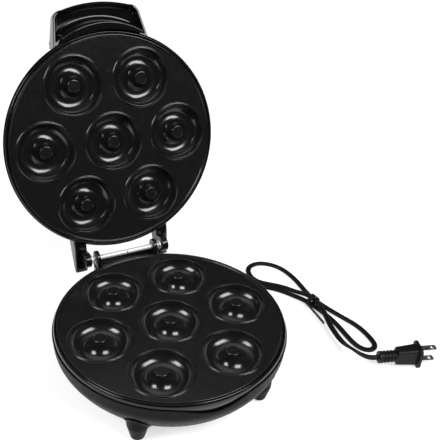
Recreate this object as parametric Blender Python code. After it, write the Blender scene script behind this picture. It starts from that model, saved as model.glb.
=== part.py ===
"""Mini donut maker: a round countertop cooker with seven ring moulds in each plate and a hinged lid.

The lid stands open, as the cooker is photographed. +Y points to the hinge, +Z up, and the feet
stand on z = 0. The origin is under the middle of the body's own box, cord not counted. Base pieces
are placed from the centre of the base, and lid pieces from the hinge axis, as if the lid were shut.
"""
import math
from collections import namedtuple

import bmesh
import bpy
import numpy as np
from mathutils import Matrix, Vector

MM = 0.001

# Fits between pieces
SEAT_GAP = 0.3 * MM        # between two pieces that rest on each other
OVERRUN = 3.0 * MM         # how far a cutter runs past the face that it cuts
EDGE_BITE = 0.5 * MM       # how far two shapes that are joined reach into each other
SHARP_ANGLE = math.radians(34.0)
CURVE_STEPS = 60           # fine steps for each point that a smooth curve runs through

# Overall layout
BASE_Y = -50.5 * MM        # the base's centre, forward of the origin
COOK_Z = 53.0 * MM         # plane of the mould lips of the base
SHUT_GAP = 2.0 * MM        # between the two lip planes when the lid is shut
HINGE_Z = 52.9 * MM        # hinge axis above the table
LID_OPEN = math.radians(105.3)

# Cooking plates
PLATE_R = 98.0 * MM
PLATE_RIM_W = 1.6 * MM
PLATE_EDGE_ROUND = 0.5 * MM
LIP_H = 1.0 * MM
SKIRT_W = 3.0 * MM

# Ring moulds: one in the middle and six round it
MOULDS_ROUND = 6
MOULD_TO_RIM = 3.8 * MM    # web between a mould's lip and the plate's rim
MOULD_APART = 8.3 * MM     # web between the lips of two moulds
MOULD_LIP_R = (PLATE_R - PLATE_RIM_W - MOULD_TO_RIM - MOULD_APART) / 3
MOULD_RING_R = 2 * MOULD_LIP_R + MOULD_APART
MOULD_LIP_W = 2.3 * MM
MOULD_DEPTH = 11.0 * MM
POST_R = 5.65 * MM
POST_PROUD = 0.6 * MM
POST_ROUND = 0.7 * MM
POST_CORE_R = 3.4 * MM
POST_CORE_DEPTH = 5.0 * MM
TROUGH_STEPS = 4
UNDER_SHARES = (0.25, 0.5, 0.75)
MOULD_SIDES = 14
PLATE_SIDES = 36

# Collars, the glossy rings that carry the plates
COLLAR_CLEAR = 0.7 * MM    # round the plate
COLLAR_W = 2.1 * MM
COLLAR_IN_R = PLATE_R + COLLAR_CLEAR
COLLAR_R = COLLAR_IN_R + COLLAR_W
COLLAR_TOP_DROP = 0.4 * MM
COLLAR_ROUND = 0.6 * MM
COLLAR_FOOT_W = 2.0 * MM
FLANGE_REACH = 4.2 * MM    # inward from the collar's bore
FLANGE_IN_R = COLLAR_IN_R - FLANGE_REACH
FLANGE_T = 3.0 * MM
TAB_REACH = 11.0 * MM
LONG_TAB_REACH = 20.0 * MM
TAB_W = 10.0 * MM
BODY_SIDES = 36

# The two halves: plate, collar and case. Shares are of the case's radius and of its depth under the edge
BASE_FLOOR_Z = 15.0 * MM
BASE_FOOT_IN = 15.8 * MM   # the casing's foot, inward from the collar's outside
BASE_FOOT_R = COLLAR_R - BASE_FOOT_IN
BASE_EDGE_W = 1.2 * MM
BASE_DRAW = 2.2 * MM       # how far the collar's side draws in towards its foot
LID_EDGE_W = 0.8 * MM
LID_DRAW = 3.5 * MM
LEDGE_W = 3.2 * MM
LEDGE_T = 2.0 * MM
BASE_OUT_SHARES = ((0.985, 0.33), (0.955, 0.56), (0.905, 0.80), (0.870, 0.94))
LID_OUT_SHARES = ((0.974, 0.14), (0.930, 0.34), (0.855, 0.56), (0.735, 0.77), (0.500, 0.93), (0.220, 1.0))
Half = namedtuple("Half", "plate_wall mould_wall skirt_h foot_r foot_z case_r edge_z depth wall out_shares")
BASE = Half(plate_wall=3.4 * MM, mould_wall=3.4 * MM, skirt_h=7.0 * MM, foot_r=COLLAR_R - BASE_DRAW,
            foot_z=-16.0 * MM, case_r=COLLAR_R + SEAT_GAP + BASE_EDGE_W, edge_z=-5.0 * MM,
            depth=COOK_Z - BASE_FLOOR_Z, wall=2.6 * MM, out_shares=BASE_OUT_SHARES)
LID = Half(plate_wall=2.0 * MM, mould_wall=1.8 * MM, skirt_h=4.0 * MM, foot_r=COLLAR_R - LID_DRAW,
           foot_z=-7.9 * MM, case_r=COLLAR_R + SEAT_GAP + LID_EDGE_W, edge_z=-3.0 * MM, depth=41.0 * MM,
           wall=2.0 * MM, out_shares=LID_OUT_SHARES)
HINGE_BACK = 6.9 * MM      # hinge axis behind the base's casing
HINGE_Y = BASE.case_r + HINGE_BACK
DIP_HALF_W = 40.0 * MM
DIP_DEPTH = 7.4 * MM
DIP_MIDDLE_X = -4.0 * MM
DIP_STEPS = 12
VENT_EDGE = 15.0 * MM      # inward from the foot's radius
VENT_L = 24.0 * MM
VENT_OUT_R = BASE_FOOT_R - VENT_EDGE
VENT_IN_R = VENT_OUT_R - VENT_L
VENT_W = 4.0 * MM
VENTS = 6

# Legs and foot pads
LEG_IN_X = 28.5 * MM       # inward from the foot's radius
LEG_IN_Y = 18.5 * MM
LEG_X = BASE_FOOT_R - LEG_IN_X
LEG_Y = BASE_FOOT_R - LEG_IN_Y
LEG_TIP_R = 6.3 * MM
LEG_ROOT_R = 9.4 * MM
LEG_TIP_ROUND = 2.4 * MM
LEG_ROUND_SHARES = ((1, 0), (0.33, 0.5), (0, 1.5))     # of LEG_TIP_ROUND: in from the side, up
LEG_TIP_Z = 0.6 * MM
LEG_TOP_Z = 30.0 * MM
LEG_SIDES = 12
PAD_R = 3.6 * MM
PAD_T = 2.4 * MM

# Hinge
PIN_R = 2.4 * MM
PIN_BORE_R = 2.7 * MM
PIN_SPLIT_X = 1.1 * MM
PIN_SPLIT_GAP = 0.6 * MM
PIN_SIDES = 12
EAR_IN_X = 27.4 * MM
EAR_T = 3.6 * MM
EAR_R = 7.2 * MM
ROUND_END_POINTS = 9
ARM_IN_X = 36.0 * MM
ARM_T = 11.8 * MM
ARM_REACH = 28.0 * MM      # from the hinge axis forward into the cover
# The arm's outline from the hinge axis, backward and upward, in shares of that reach
ARM_SHARES = ((-1, 0.25), (-0.32, 0.25), (0, 0.332), (0.357, 0.386), (0.571, 0.436), (0.586, 0.571),
              (0.443, 0.679), (0.179, 0.729), (-0.489, 0.857), (-1, 1.107))
KNUCKLE_R = 7.2 * MM
KNUCKLE_T = 6.4 * MM
KNUCKLE_CAP_T = 1.8 * MM
KNUCKLE_TOP = 10.6 * MM
BLOCK_TOP_DROP = 6.6 * MM
BLOCK_H = 11.0 * MM
BLOCK_REACH = 7.0 * MM
BLOCK_ROOT = 27.0 * MM
WASHER_R = 4.2 * MM
WASHER_T = 1.4 * MM

# Handle
HANDLE_ROOT_HALF_W = 45.2 * MM
HANDLE_TIP_HALF_W = 41.0 * MM
HANDLE_SET_IN = 13.9 * MM  # its root, inward from the cover's edge
HANDLE_REACH = 23.7 * MM   # its front, outward from that edge
HANDLE_ROOT_Y = HANDLE_SET_IN - LID.case_r
HANDLE_TIP_Y = -LID.case_r - HANDLE_REACH
HANDLE_BOW = 4.5 * MM
HANDLE_CORNER = 9.0 * MM
HANDLE_LOW = 5.5 * MM      # the rim's level at the root
HANDLE_LIFT = 11.5 * MM    # how much further back it lies at the front
HANDLE_HIGH = 30.0 * MM
HANDLE_DRAFT = 1.2 * MM
HANDLE_ROUND = 3.6 * MM
HANDLE_BACK_IN = 1.6 * MM  # the back's front edge, inward besides the draft
HANDLE_CORNER_STEPS = 5
HANDLE_BOW_STEPS = 6
GRIP_WALL = 2.2 * MM
GRIP_DEPTH = 16.5 * MM

# Bowed chin between the finger pocket and the cover's edge
CHIN_OUT = 7.1 * MM
CHIN_IN = 1.0 * MM
CHIN_Y = LID.case_r + CHIN_OUT
CHIN_IN_R = LID.case_r + CHIN_IN
CHIN_BOW_R = 68.0 * MM
CHIN_HALF_W = 37.5 * MM
CHIN_PROUD = 1.5 * MM      # past the plane of the lips
CHIN_POINTS = 11

# Heating elements and reflectors
ELEMENT_R = 3.2 * MM
ELEMENT_GAP_DEG = 26.0
ELEMENT_POINTS = 26
TERMINAL_R = 1.6 * MM
TERMINAL_L = 9.0 * MM
PAN_OVER = 8.5 * MM        # past the heater's ring
PAN_R = MOULD_RING_R + PAN_OVER
PAN_T = 0.8 * MM
PAN_RIM_H = 5.0 * MM
PAN_SIDES = 24

# Fasteners
SCREW_R = 1.5 * MM
SCREW_HEAD_R = 3.1 * MM
SCREW_HEAD_H = 1.9 * MM
SCREW_BORE_R = 1.8 * MM
SCREW_TIP = 0.8 * MM
SCREW_FACE_SHARE = 0.75
SCREW_BITE = 8.0 * MM
SCREW_SIDES = 8
POST_SCREW_R = MOULD_RING_R / math.sqrt(3)     # in the gap between three moulds
PILLAR_R = 4.4 * MM
RIM_SCREW_IN = 10.0 * MM
RIM_SCREW_R = PLATE_R - RIM_SCREW_IN     # in the gap between two outer moulds and the rim
RIM_BOSS_R = 4.0 * MM
FOOT_SCREW_IN = 5.5 * MM
SHELL_SCREW_R = BASE_FOOT_R - FOOT_SCREW_IN     # inside the foot of the shell
FOOT_PILLAR_R = 5.0 * MM
COUNTERBORE_R = 3.8 * MM
COUNTERBORE_H = 3.0 * MM

# Electric pieces
THERMOSTAT_R = 7.0 * MM
THERMOSTAT_H = 7.0 * MM
THERMOSTAT_CAP_R = 5.0 * MM
THERMOSTAT_CAP_H = 2.5 * MM
FUSE_R = 2.2 * MM
FUSE_L = 12.0 * MM
BLOCK_SIZE = (24.0 * MM, 10.0 * MM, 8.4 * MM)
CLAMP_SIZE = (20.0 * MM, 6.0 * MM, 10.0 * MM)
CLAMP_IN = 22.4 * MM       # inward from the collar's outside
CLAMP_Y = COLLAR_R - CLAMP_IN
BLOCK_APART = 15.4 * MM
BLOCK_Y = CLAMP_Y - BLOCK_APART
CLAMP_SCREW_X = 6.8 * MM
CLAMP_SCREW_L = 7.0 * MM
WIRE_R = 1.1 * MM
WIRE_SIDE_X = 14.0 * MM
WIRE_CLEAR = 2.4 * MM
WIRE_POINTS = 12
LAMP_X = 9.0 * MM
LAMP_IN = 43.9 * MM        # inward from the cover's edge
LAMP_Y = LAMP_IN - LID.case_r
LENS_R = 3.0 * MM
LENS_PROUD = 0.8 * MM
LENS_L = 5.0 * MM
LENS_FACE_SHARE = 0.7
LENS_SEAT_SHARE = 0.975
LAMP_R = 2.3 * MM
LAMP_L = 6.0 * MM

# Power cord, a flat twin lead; the tube has its mean width
CORD_D = 4.4 * MM
CORD_POINTS = 80
CORD_FINE_POINTS = 800     # for measuring it
CORD_SAME_DIAMETERS = 6    # a stretch this long counts as one with itself
CORD_Z = 24.0 * MM
RELIEF_REACH = 26.9 * MM   # from the collar's outside
RELIEF_END_Y = COLLAR_R + RELIEF_REACH
RELIEF_ROOT_R = 5.6 * MM
RELIEF_TIP_R = 3.5 * MM
RELIEF_RIB_DEEP = 0.8 * MM
RELIEF_RIBS = 5
RIB_SHARES = ((0, 0), (0.33, 0), (0.67, 1))     # along one rib, and of its depth
RELIEF_NECK_R = 4.4 * MM
RELIEF_BORE_R = 4.7 * MM
RELIEF_FLANGE_R = 5.5 * MM
RELIEF_FLANGE_T = 2.4 * MM
RELIEF_STAND = 0.4 * MM
RELIEF_SIDES = 12
TIE_AT = (169.6 * MM, 25.0 * MM)
TIE_TURN = math.radians(11.5)
TIE_CLEAR = 0.6 * MM
TIE_T = 0.7 * MM
TIE_W = 5.0 * MM
TIE_REACH = 25.0 * MM      # strands within this of its middle are tied
TIE_SIDES = 24
TIE_TAIL = ((161.9 * MM, 24.0 * MM), (161.3 * MM, -8.0 * MM),
            (162.0 * MM, -8.0 * MM), (162.5 * MM, 24.0 * MM))
TIE_TAIL_LOW = 2.2 * MM
TIE_TAIL_HIGH = 5.2 * MM

# Plug, on its narrow edge with one blade over the other: (distance, half width, half height, corner)
PLUG_TURN = math.radians(-16.0)
PLUG_NECK = (5.0 * MM, 5.8 * MM)
PLUG_NECK_L = 17.5 * MM
PLUG_NECK_PLAIN = 4.0 * MM
PLUG_NECK_RIBS = 4
PLUG_NECK_GROOVE = 0.9 * MM
PLUG_BODY_BACK = (4.9 * MM, 7.8 * MM)
PLUG_BODY_FACE = (6.0 * MM, 9.0 * MM)
PLUG_BODY_L = 19.0 * MM
PLUG_FLANGE = (9.0 * MM, 11.0 * MM)
PLUG_FLANGE_T = 3.0 * MM
PLUG_CORNER = 2.0 * MM
PLUG_FLANGE_CORNER = 3.6 * MM
PLUG_CORNER_STEPS = 3
BLADE_PITCH = 12.7 * MM
BLADE_L = 16.0 * MM
BLADE_W = 6.3 * MM
BLADE_T = 1.5 * MM
BLADE_TIP_W = 4.4 * MM
BLADE_TIP_L = 1.2 * MM
BLADE_HOLE_R = 1.55 * MM
BLADE_HOLE_L = 11.9 * MM
BLADE_ROOT = 4.0 * MM

# The cord's way over the table, from the strain relief to the plug, measured from the base's centre
CORD_ROUTE = [
    (0.0, 0.128, 0.024), (0.0, 0.137, 0.0225), (0.003, 0.147, 0.017), (0.012, 0.157, 0.009),
    (0.028, 0.16, 0.004), (0.048, 0.154, 0.0023), (0.07, 0.138, 0.0023), (0.09, 0.116, 0.0023),
    (0.106, 0.096, 0.0023), (0.121, 0.078, 0.0023), (0.137, 0.066, 0.0023), (0.149, 0.055, 0.0023),
    (0.1575, 0.0425, 0.0025), (0.1623, 0.0325, 0.0035), (0.166, 0.022, 0.0039), (0.1698, 0.011, 0.0033),
    (0.1729, -0.001, 0.0024), (0.174, -0.014, 0.0023), (0.1738, -0.027, 0.0023), (0.174, -0.04, 0.0023),
    (0.1773, -0.051, 0.0023), (0.1836, -0.0554, 0.0023), (0.1899, -0.0532, 0.0023),
    (0.1929, -0.045, 0.0023), (0.193, -0.032, 0.0023), (0.191, -0.02, 0.0023),
    (0.1866, -0.008, 0.0023), (0.1818, 0.0035, 0.0026), (0.1768, 0.015, 0.0035),
    (0.1734, 0.027, 0.0039), (0.173, 0.043, 0.0025), (0.1736, 0.06, 0.0023), (0.1725, 0.075, 0.0023),
    (0.169, 0.088, 0.0023), (0.1615, 0.0985, 0.0023), (0.151, 0.1045, 0.0023), (0.139, 0.1025, 0.0023),
    (0.1325, 0.091, 0.0023), (0.1348, 0.078, 0.0023), (0.1445, 0.068, 0.0023), (0.155, 0.0585, 0.0023),
    (0.163, 0.0465, 0.0032), (0.168, 0.0345, 0.0064), (0.1696, 0.0235, 0.0085), (0.1693, 0.012, 0.0086),
    (0.1678, 0.0, 0.007), (0.1644, -0.0138, 0.006), (0.1619, -0.0286, 0.006), (0.161, -0.0439, 0.007),
    (0.1611, -0.0557, 0.0104), (0.1626, -0.0637, 0.0115), (0.1673, -0.0705, 0.0113),
    (0.172, -0.0732, 0.0111), (0.1758, -0.0743, 0.0111),
]


# Blender helpers
for old in list(bpy.data.objects):
    bpy.data.objects.remove(old, do_unlink=True)


def material(name, colour, roughness, metallic=0.0):
    made = bpy.data.materials.new(name)
    made.use_nodes = True
    shader = made.node_tree.nodes["Principled BSDF"]
    shader.inputs["Base Color"].default_value = (*colour, 1.0)
    shader.inputs["Roughness"].default_value = roughness
    shader.inputs["Metallic"].default_value = metallic
    made.diffuse_color = (*colour, 1.0)
    return made


NON_STICK = material("non_stick", (0.012, 0.012, 0.014), 0.34, 0.2)
GLOSS_BLACK = material("gloss_black", (0.006, 0.006, 0.007), 0.12)
SATIN_BLACK = material("satin_black", (0.016, 0.016, 0.017), 0.42)
STEEL = material("bright_steel", (0.72, 0.72, 0.74), 0.22, 1.0)
TIN_STEEL = material("tin_steel", (0.48, 0.48, 0.49), 0.38, 1.0)
ALUMINIUM = material("aluminium", (0.62, 0.62, 0.63), 0.42, 1.0)
BLACK_VINYL = material("black_vinyl", (0.014, 0.014, 0.015), 0.45)
RUBBER = material("rubber", (0.03, 0.03, 0.03), 0.8)
CERAMIC = material("ceramic", (0.75, 0.72, 0.66), 0.6)
RED_LENS = material("red_lens", (0.55, 0.02, 0.02), 0.15)
GREEN_LENS = material("green_lens", (0.02, 0.4, 0.06), 0.15)
BRASS = material("brass", (0.72, 0.55, 0.25), 0.35, 1.0)


def empty(name, location, rotation=(0, 0, 0), parent=None):
    made = bpy.data.objects.new(name, None)
    made.location = location
    made.rotation_euler = rotation
    made.parent = parent
    bpy.context.collection.objects.link(made)
    return made


def mesh_object(name, form, finish=None, parent=None):
    """Turns a bmesh into an object with its faces pointing out, round stretches smooth."""
    bmesh.ops.recalc_face_normals(form, faces=form.faces)
    mesh = bpy.data.meshes.new(name)
    form.to_mesh(mesh)
    form.free()
    mesh.shade_smooth()
    mesh.set_sharp_from_angle(angle=SHARP_ANGLE)
    made = bpy.data.objects.new(name, mesh)
    if finish:
        mesh.materials.append(finish)
    made.parent = parent
    bpy.context.collection.objects.link(made)
    return made


def rings(form, profile, sides, at=(0, 0)):
    """Rings of points turned about a line along Z, with faces between them; gives both end rings.

    A first or last point at radius 0 closes that end flat.
    """
    closed_low, closed_high = not profile[0][0], not profile[-1][0]
    loops = []
    for radius, height in profile[closed_low:len(profile) - closed_high]:
        angles = [math.tau * i / sides for i in range(sides)]
        loops.append([form.verts.new((at[0] + radius * math.cos(a), at[1] + radius * math.sin(a), height))
                      for a in angles])
    for low, high in zip(loops, loops[1:]):
        bridge(form, low, high)
    if closed_low:
        form.faces.new(loops[0])
    if closed_high:
        form.faces.new(loops[-1])
    return loops[0], loops[-1]


def bridge(form, low, high):
    """Faces between two rings of as many points."""
    for j in range(len(low)):
        k = (j + 1) % len(low)
        form.faces.new((low[j], low[k], high[k], high[j]))


def fill_flat(form, loops, normal):
    """Fills a flat region between one outer ring and the rings inside it."""
    edges = []
    for loop in loops:
        for j in range(len(loop)):
            pair = (loop[j], loop[(j + 1) % len(loop)])
            edges.append(form.edges.get(pair) or form.edges.new(pair))
    bmesh.ops.triangle_fill(form, use_beauty=True, edges=edges, normal=normal)


def turned(name, profile, sides, finish=None, parent=None, at=(0, 0, 0), turn=None):
    """A profile of (radius, height) points turned about Z; points at radius 0 close its ends."""
    form = bmesh.new()
    first, last = rings(form, profile, sides)
    if profile[0][0]:
        bridge(form, last, first)
    if turn:
        bmesh.ops.transform(form, matrix=turn, verts=form.verts)
    bmesh.ops.translate(form, vec=at, verts=form.verts)
    return mesh_object(name, form, finish, parent)


def prism(name, outline, low, high, finish=None, parent=None, turn=None, at=(0, 0, 0)):
    """An outline of (x, y) points pushed from the height low to the height high."""
    form = bmesh.new()
    floor = form.faces.new([form.verts.new((x, y, low)) for x, y in outline])
    pushed = bmesh.ops.extrude_face_region(form, geom=[floor])["geom"]
    top = [v for v in pushed if isinstance(v, bmesh.types.BMVert)]
    bmesh.ops.translate(form, vec=(0, 0, high - low), verts=top)
    if turn:
        bmesh.ops.transform(form, matrix=turn, verts=form.verts)
    bmesh.ops.translate(form, vec=at, verts=form.verts)
    return mesh_object(name, form, finish, parent)


def block(name, low, high, finish=None, parent=None):
    """A plain box between two corners."""
    outline = [(low[0], low[1]), (high[0], low[1]), (high[0], high[1]), (low[0], high[1])]
    return prism(name, outline, low[2], high[2], finish, parent)


def cylinder(name, radius, start, end, sides, finish=None, parent=None):
    """A round bar from start to end."""
    start, end = Vector(start), Vector(end)
    run = end - start
    spin = run.to_track_quat("Z", "Y").to_matrix().to_4x4()
    outline = [(radius * math.cos(math.tau * i / sides), radius * math.sin(math.tau * i / sides))
               for i in range(sides)]
    return prism(name, outline, 0, run.length, finish, parent, turn=spin, at=start)


# Slabs whose outline is given in (y, z) run along X
YZ_SLAB = Matrix(((0, 0, 1, 0), (1, 0, 0, 0), (0, 1, 0, 0), (0, 0, 0, 1)))
# Slabs whose outline is given in (x, z) run along -Y
XZ_SLAB = Matrix(((1, 0, 0, 0), (0, 0, -1, 0), (0, 1, 0, 0), (0, 0, 0, 1)))


def shaped(target, tool, operation, solver="EXACT"):
    """Joins a tool to the target or cuts it away, and keeps the result as the target's mesh."""
    step = target.modifiers.new(operation.lower(), "BOOLEAN")
    step.operation = operation
    step.solver = solver
    step.object = tool
    bpy.context.view_layer.update()
    graph = bpy.context.evaluated_depsgraph_get()
    result = bpy.data.meshes.new_from_object(target.evaluated_get(graph))
    target.modifiers.remove(step)
    old = target.data
    finish = old.materials[0] if old.materials else None
    target.data = result
    result.name = target.name
    result.materials.clear()
    if finish:
        result.materials.append(finish)
    result.shade_smooth()
    result.set_sharp_from_angle(angle=SHARP_ANGLE)
    bpy.data.meshes.remove(old)
    bpy.data.objects.remove(tool, do_unlink=True)


def join(target, *tools):
    for tool in tools:
        shaped(target, tool, "UNION")


def cut(target, *tools):
    for tool in tools:
        shaped(target, tool, "DIFFERENCE")


def polar(radius, degrees, height=0):
    angle = math.radians(degrees)
    return (radius * math.cos(angle), radius * math.sin(angle), height)


def smooth_curve(points, count):
    """Evenly spaced points of a natural cubic spline through the given points."""
    points = np.array(points, float)
    stations = np.concatenate([[0], np.cumsum(np.linalg.norm(np.diff(points, axis=0), axis=1))])
    gaps = np.diff(stations)
    size = len(points)
    system, right = np.eye(size), np.zeros((size, 3))
    for i in range(1, size - 1):
        before, after = gaps[i - 1], gaps[i]
        system[i, i - 1:i + 2] = before, 2 * (before + after), after
        right[i] = 6 * ((points[i + 1] - points[i]) / after - (points[i] - points[i - 1]) / before)
    bends = np.linalg.solve(system, right)
    fine = np.linspace(0, stations[-1], size * CURVE_STEPS)
    k = np.clip(np.searchsorted(stations, fine, side="right") - 1, 0, size - 2)
    back, ahead, gap = (stations[k + 1] - fine)[:, None], (fine - stations[k])[:, None], gaps[k][:, None]
    line = ((bends[k] * back ** 3 + bends[k + 1] * ahead ** 3) / (6 * gap)
            + (points[k] / gap - bends[k] * gap / 6) * back
            + (points[k + 1] / gap - bends[k + 1] * gap / 6) * ahead)
    run = np.concatenate([[0], np.cumsum(np.linalg.norm(np.diff(line, axis=0), axis=1))])
    even = np.linspace(0, run[-1], count)
    return np.stack([np.interp(even, run, line[:, i]) for i in range(3)], -1)


def lofted(name, sections, finish, parent):
    """Sections of as many points each, joined one after the other and closed at both ends."""
    form = bmesh.new()
    loops = [[form.verts.new(point) for point in section] for section in sections]
    for low, high in zip(loops, loops[1:]):
        bridge(form, low, high)
    form.faces.new(loops[0])
    form.faces.new(loops[-1])
    return mesh_object(name, form, finish, parent)


def hoop(name, inner, outer, low, high, finish, parent, turn):
    """A band between two outlines of as many points, from the height low to the height high."""
    form = bmesh.new()
    loops = [[form.verts.new((x, y, z)) for x, y in outline]
             for outline, z in ((inner, low), (inner, high), (outer, high), (outer, low))]
    for a, b in zip(loops, loops[1:] + loops[:1]):
        bridge(form, a, b)
    bmesh.ops.transform(form, matrix=turn, verts=form.verts)
    return mesh_object(name, form, finish, parent)


def tube(name, points, radius, finish, parent, resolution):
    """A round cord along points, as a curve with a bevel and filled caps."""
    data = bpy.data.curves.new(name, "CURVE")
    data.dimensions = "3D"
    data.bevel_depth = radius
    data.bevel_resolution = resolution
    data.use_fill_caps = True
    spline = data.splines.new("POLY")
    spline.points.add(len(points) - 1)
    for point, place in zip(spline.points, points):
        point.co = (*place, 1)
    data.materials.append(finish)
    made = bpy.data.objects.new(name, data)
    made.parent = parent
    bpy.context.collection.objects.link(made)
    return made


# The empties that carry the pieces
base = empty("base_centre", (0, BASE_Y, 0))
base_cook = empty("base_cook_plane", (0, 0, COOK_Z), parent=base)
lid = empty("lid_hinge_axis", (0, HINGE_Y, HINGE_Z), rotation=(-LID_OPEN, 0, 0), parent=base)
LID_COOK_UP = COOK_Z + SHUT_GAP - HINGE_Z
lid_cook = empty("lid_cook_plane", (0, -HINGE_Y, LID_COOK_UP), rotation=(math.pi, 0, 0), parent=lid)

# Heights that follow, measured from the lip plane of a plate, away from the food
FLOOR_LOW = BASE_FLOOR_Z - COOK_Z
FLOOR_TOP = FLOOR_LOW + BASE.wall
PILLAR_ANGLES = (30, 150, 270)
RIM_SCREW_ANGLES = (90, 210, 330)
MOULD_PLACES = [(0, 0, 0)] + [polar(MOULD_RING_R, 360 * i / MOULDS_ROUND)
                              for i in range(MOULDS_ROUND)]


def mould_bottom(half):
    return -(MOULD_DEPTH + half.mould_wall)


def element_level(half):
    """The middle of the heater that lies under the moulds."""
    return mould_bottom(half) - SEAT_GAP - ELEMENT_R


def pan_levels(half):
    """The reflector's faces: the one towards the heater and the one away from it."""
    top = element_level(half) - ELEMENT_R - SEAT_GAP
    return top, top - PAN_T


# Cooking plates
def mould_top():
    """From the lip's foot over the lip, down the half-round trough and up to the flat post."""
    inner = POST_R + POST_ROUND / 2
    outer = MOULD_LIP_R - MOULD_LIP_W
    middle, half_w = (inner + outer) / 2, (outer - inner) / 2
    points = [(MOULD_LIP_R, -LIP_H), (MOULD_LIP_R - PLATE_EDGE_ROUND, 0)]
    for i in range(TROUGH_STEPS + 1):
        angle = math.pi * i / TROUGH_STEPS
        points.append((middle + half_w * math.cos(angle), -MOULD_DEPTH * math.sin(angle)))
    return points + [(POST_R - POST_ROUND, POST_PROUD), (0, POST_PROUD)]


def mould_under(half, level):
    """The mould's wall under the plate, from its root at that level to the hollow under the post."""
    inner = POST_R + POST_ROUND / 2
    outer = MOULD_LIP_R - MOULD_LIP_W
    middle, half_w = (inner + outer) / 2, (outer - inner) / 2 + half.mould_wall
    points = [(MOULD_LIP_R - PLATE_EDGE_ROUND, level)]
    for share in UNDER_SHARES:
        angle = math.pi * share
        points.append((middle + half_w * math.cos(angle), mould_bottom(half) * math.sin(angle)))
    return points + [(POST_CORE_R, -POST_CORE_DEPTH), (0, -POST_CORE_DEPTH)]


def flange_levels(half):
    """The upper and lower level of the collar's flange."""
    top = -half.skirt_h - SEAT_GAP
    return top, top - FLANGE_T


def cooking_plate(name, half, parent):
    """A die-cast plate: rimmed disc, seven ring moulds, and bosses for its screws underneath."""
    form = bmesh.new()
    under = -LIP_H - half.plate_wall
    foot = -half.skirt_h
    top_rim, under_rim = rings(form, [
        (PLATE_R - PLATE_RIM_W - PLATE_EDGE_ROUND, -LIP_H), (PLATE_R - PLATE_RIM_W, 0),
        (PLATE_R - PLATE_EDGE_ROUND, 0), (PLATE_R, -PLATE_EDGE_ROUND), (PLATE_R, foot),
        (PLATE_R - SKIRT_W, foot), (PLATE_R - SKIRT_W, under),
    ], PLATE_SIDES)
    top_loops, under_loops = [top_rim], [under_rim]
    for x, y, _ in MOULD_PLACES:
        top_loops.append(rings(form, mould_top(), MOULD_SIDES, (x, y))[0])
        under_loops.append(rings(form, mould_under(half, under), MOULD_SIDES, (x, y))[0])
    pillar_end = pan_levels(half)[0] + SEAT_GAP
    for degrees in PILLAR_ANGLES:
        pillar = [(PILLAR_R, under), (PILLAR_R, pillar_end), (SCREW_BORE_R, pillar_end),
                  (SCREW_BORE_R, pillar_end + SCREW_BITE), (0, pillar_end + SCREW_BITE)]
        under_loops.append(rings(form, pillar, SCREW_SIDES, polar(POST_SCREW_R, degrees))[0])
    for degrees in RIM_SCREW_ANGLES:
        bore_end = under + half.plate_wall / 2
        boss = [(RIM_BOSS_R, under), (RIM_BOSS_R, foot), (SCREW_BORE_R, foot), (SCREW_BORE_R, bore_end),
                (0, bore_end)]
        under_loops.append(rings(form, boss, SCREW_SIDES, polar(RIM_SCREW_R, degrees))[0])
    fill_flat(form, top_loops, (0, 0, 1))
    fill_flat(form, under_loops, (0, 0, -1))
    return mesh_object(name, form, NON_STICK, parent)


# Collars
def collar(name, half, parent, shell_angles=()):
    """The glossy ring round a plate, with a flange that carries it and tabs for its screws."""
    top = -COLLAR_TOP_DROP
    foot_r, low = half.foot_r, half.foot_z
    flange_top, flange_low = flange_levels(half)
    ring = turned(name, [
        (COLLAR_IN_R, flange_top), (COLLAR_IN_R, top - COLLAR_ROUND), (COLLAR_IN_R + COLLAR_ROUND, top),
        (COLLAR_R - COLLAR_ROUND, top), (COLLAR_R, top - COLLAR_ROUND), (COLLAR_R, half.edge_z),
        (foot_r, low), (foot_r - COLLAR_FOOT_W, low),
        (foot_r - COLLAR_FOOT_W, flange_low), (FLANGE_IN_R, flange_low),
        (FLANGE_IN_R, flange_top),
    ], BODY_SIDES, GLOSS_BLACK, parent)
    outer = FLANGE_IN_R + COLLAR_FOOT_W / 2
    tabs = [(degrees, RIM_SCREW_R, TAB_REACH) for degrees in RIM_SCREW_ANGLES]
    tabs += [(degrees, SHELL_SCREW_R, LONG_TAB_REACH) for degrees in shell_angles]
    for degrees, bore_at, reach in tabs:
        inner = FLANGE_IN_R - reach
        outline = [(inner, -TAB_W / 2), (outer, -TAB_W / 2), (outer, TAB_W / 2), (inner, TAB_W / 2)]
        spin = Matrix.Rotation(math.radians(degrees), 4, "Z")
        join(ring, prism("tab", outline, flange_low, flange_top, parent=parent, turn=spin))
        bore_start = polar(bore_at, degrees, flange_low - OVERRUN)
        bore_end = polar(bore_at, degrees, flange_top + OVERRUN)
        cut(ring, cylinder("bore", SCREW_BORE_R, bore_start, bore_end, SCREW_SIDES, parent=parent))
    return ring


# Casings
def case_levels(half):
    """Outer wall points below the edge."""
    return [(half.case_r * radius, half.edge_z - (half.depth + half.edge_z) * fall)
            for radius, fall in half.out_shares]


def case_inside(half, floor):
    """The hollow: straight past the collar, over a ledge under it, along the wall, then the floor."""
    bore = COLLAR_R + SEAT_GAP
    foot, ledge = half.foot_r + SEAT_GAP, half.foot_z - SEAT_GAP
    below = [(r - half.wall, z + half.wall / 2) for r, z in case_levels(half) if z < ledge - LEDGE_T]
    return [(0, half.edge_z + OVERRUN), (bore, half.edge_z + OVERRUN), (bore, half.edge_z), (foot, ledge),
            (foot - LEDGE_W, ledge), (foot - LEDGE_W, ledge - LEDGE_T)] + below + floor


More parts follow.
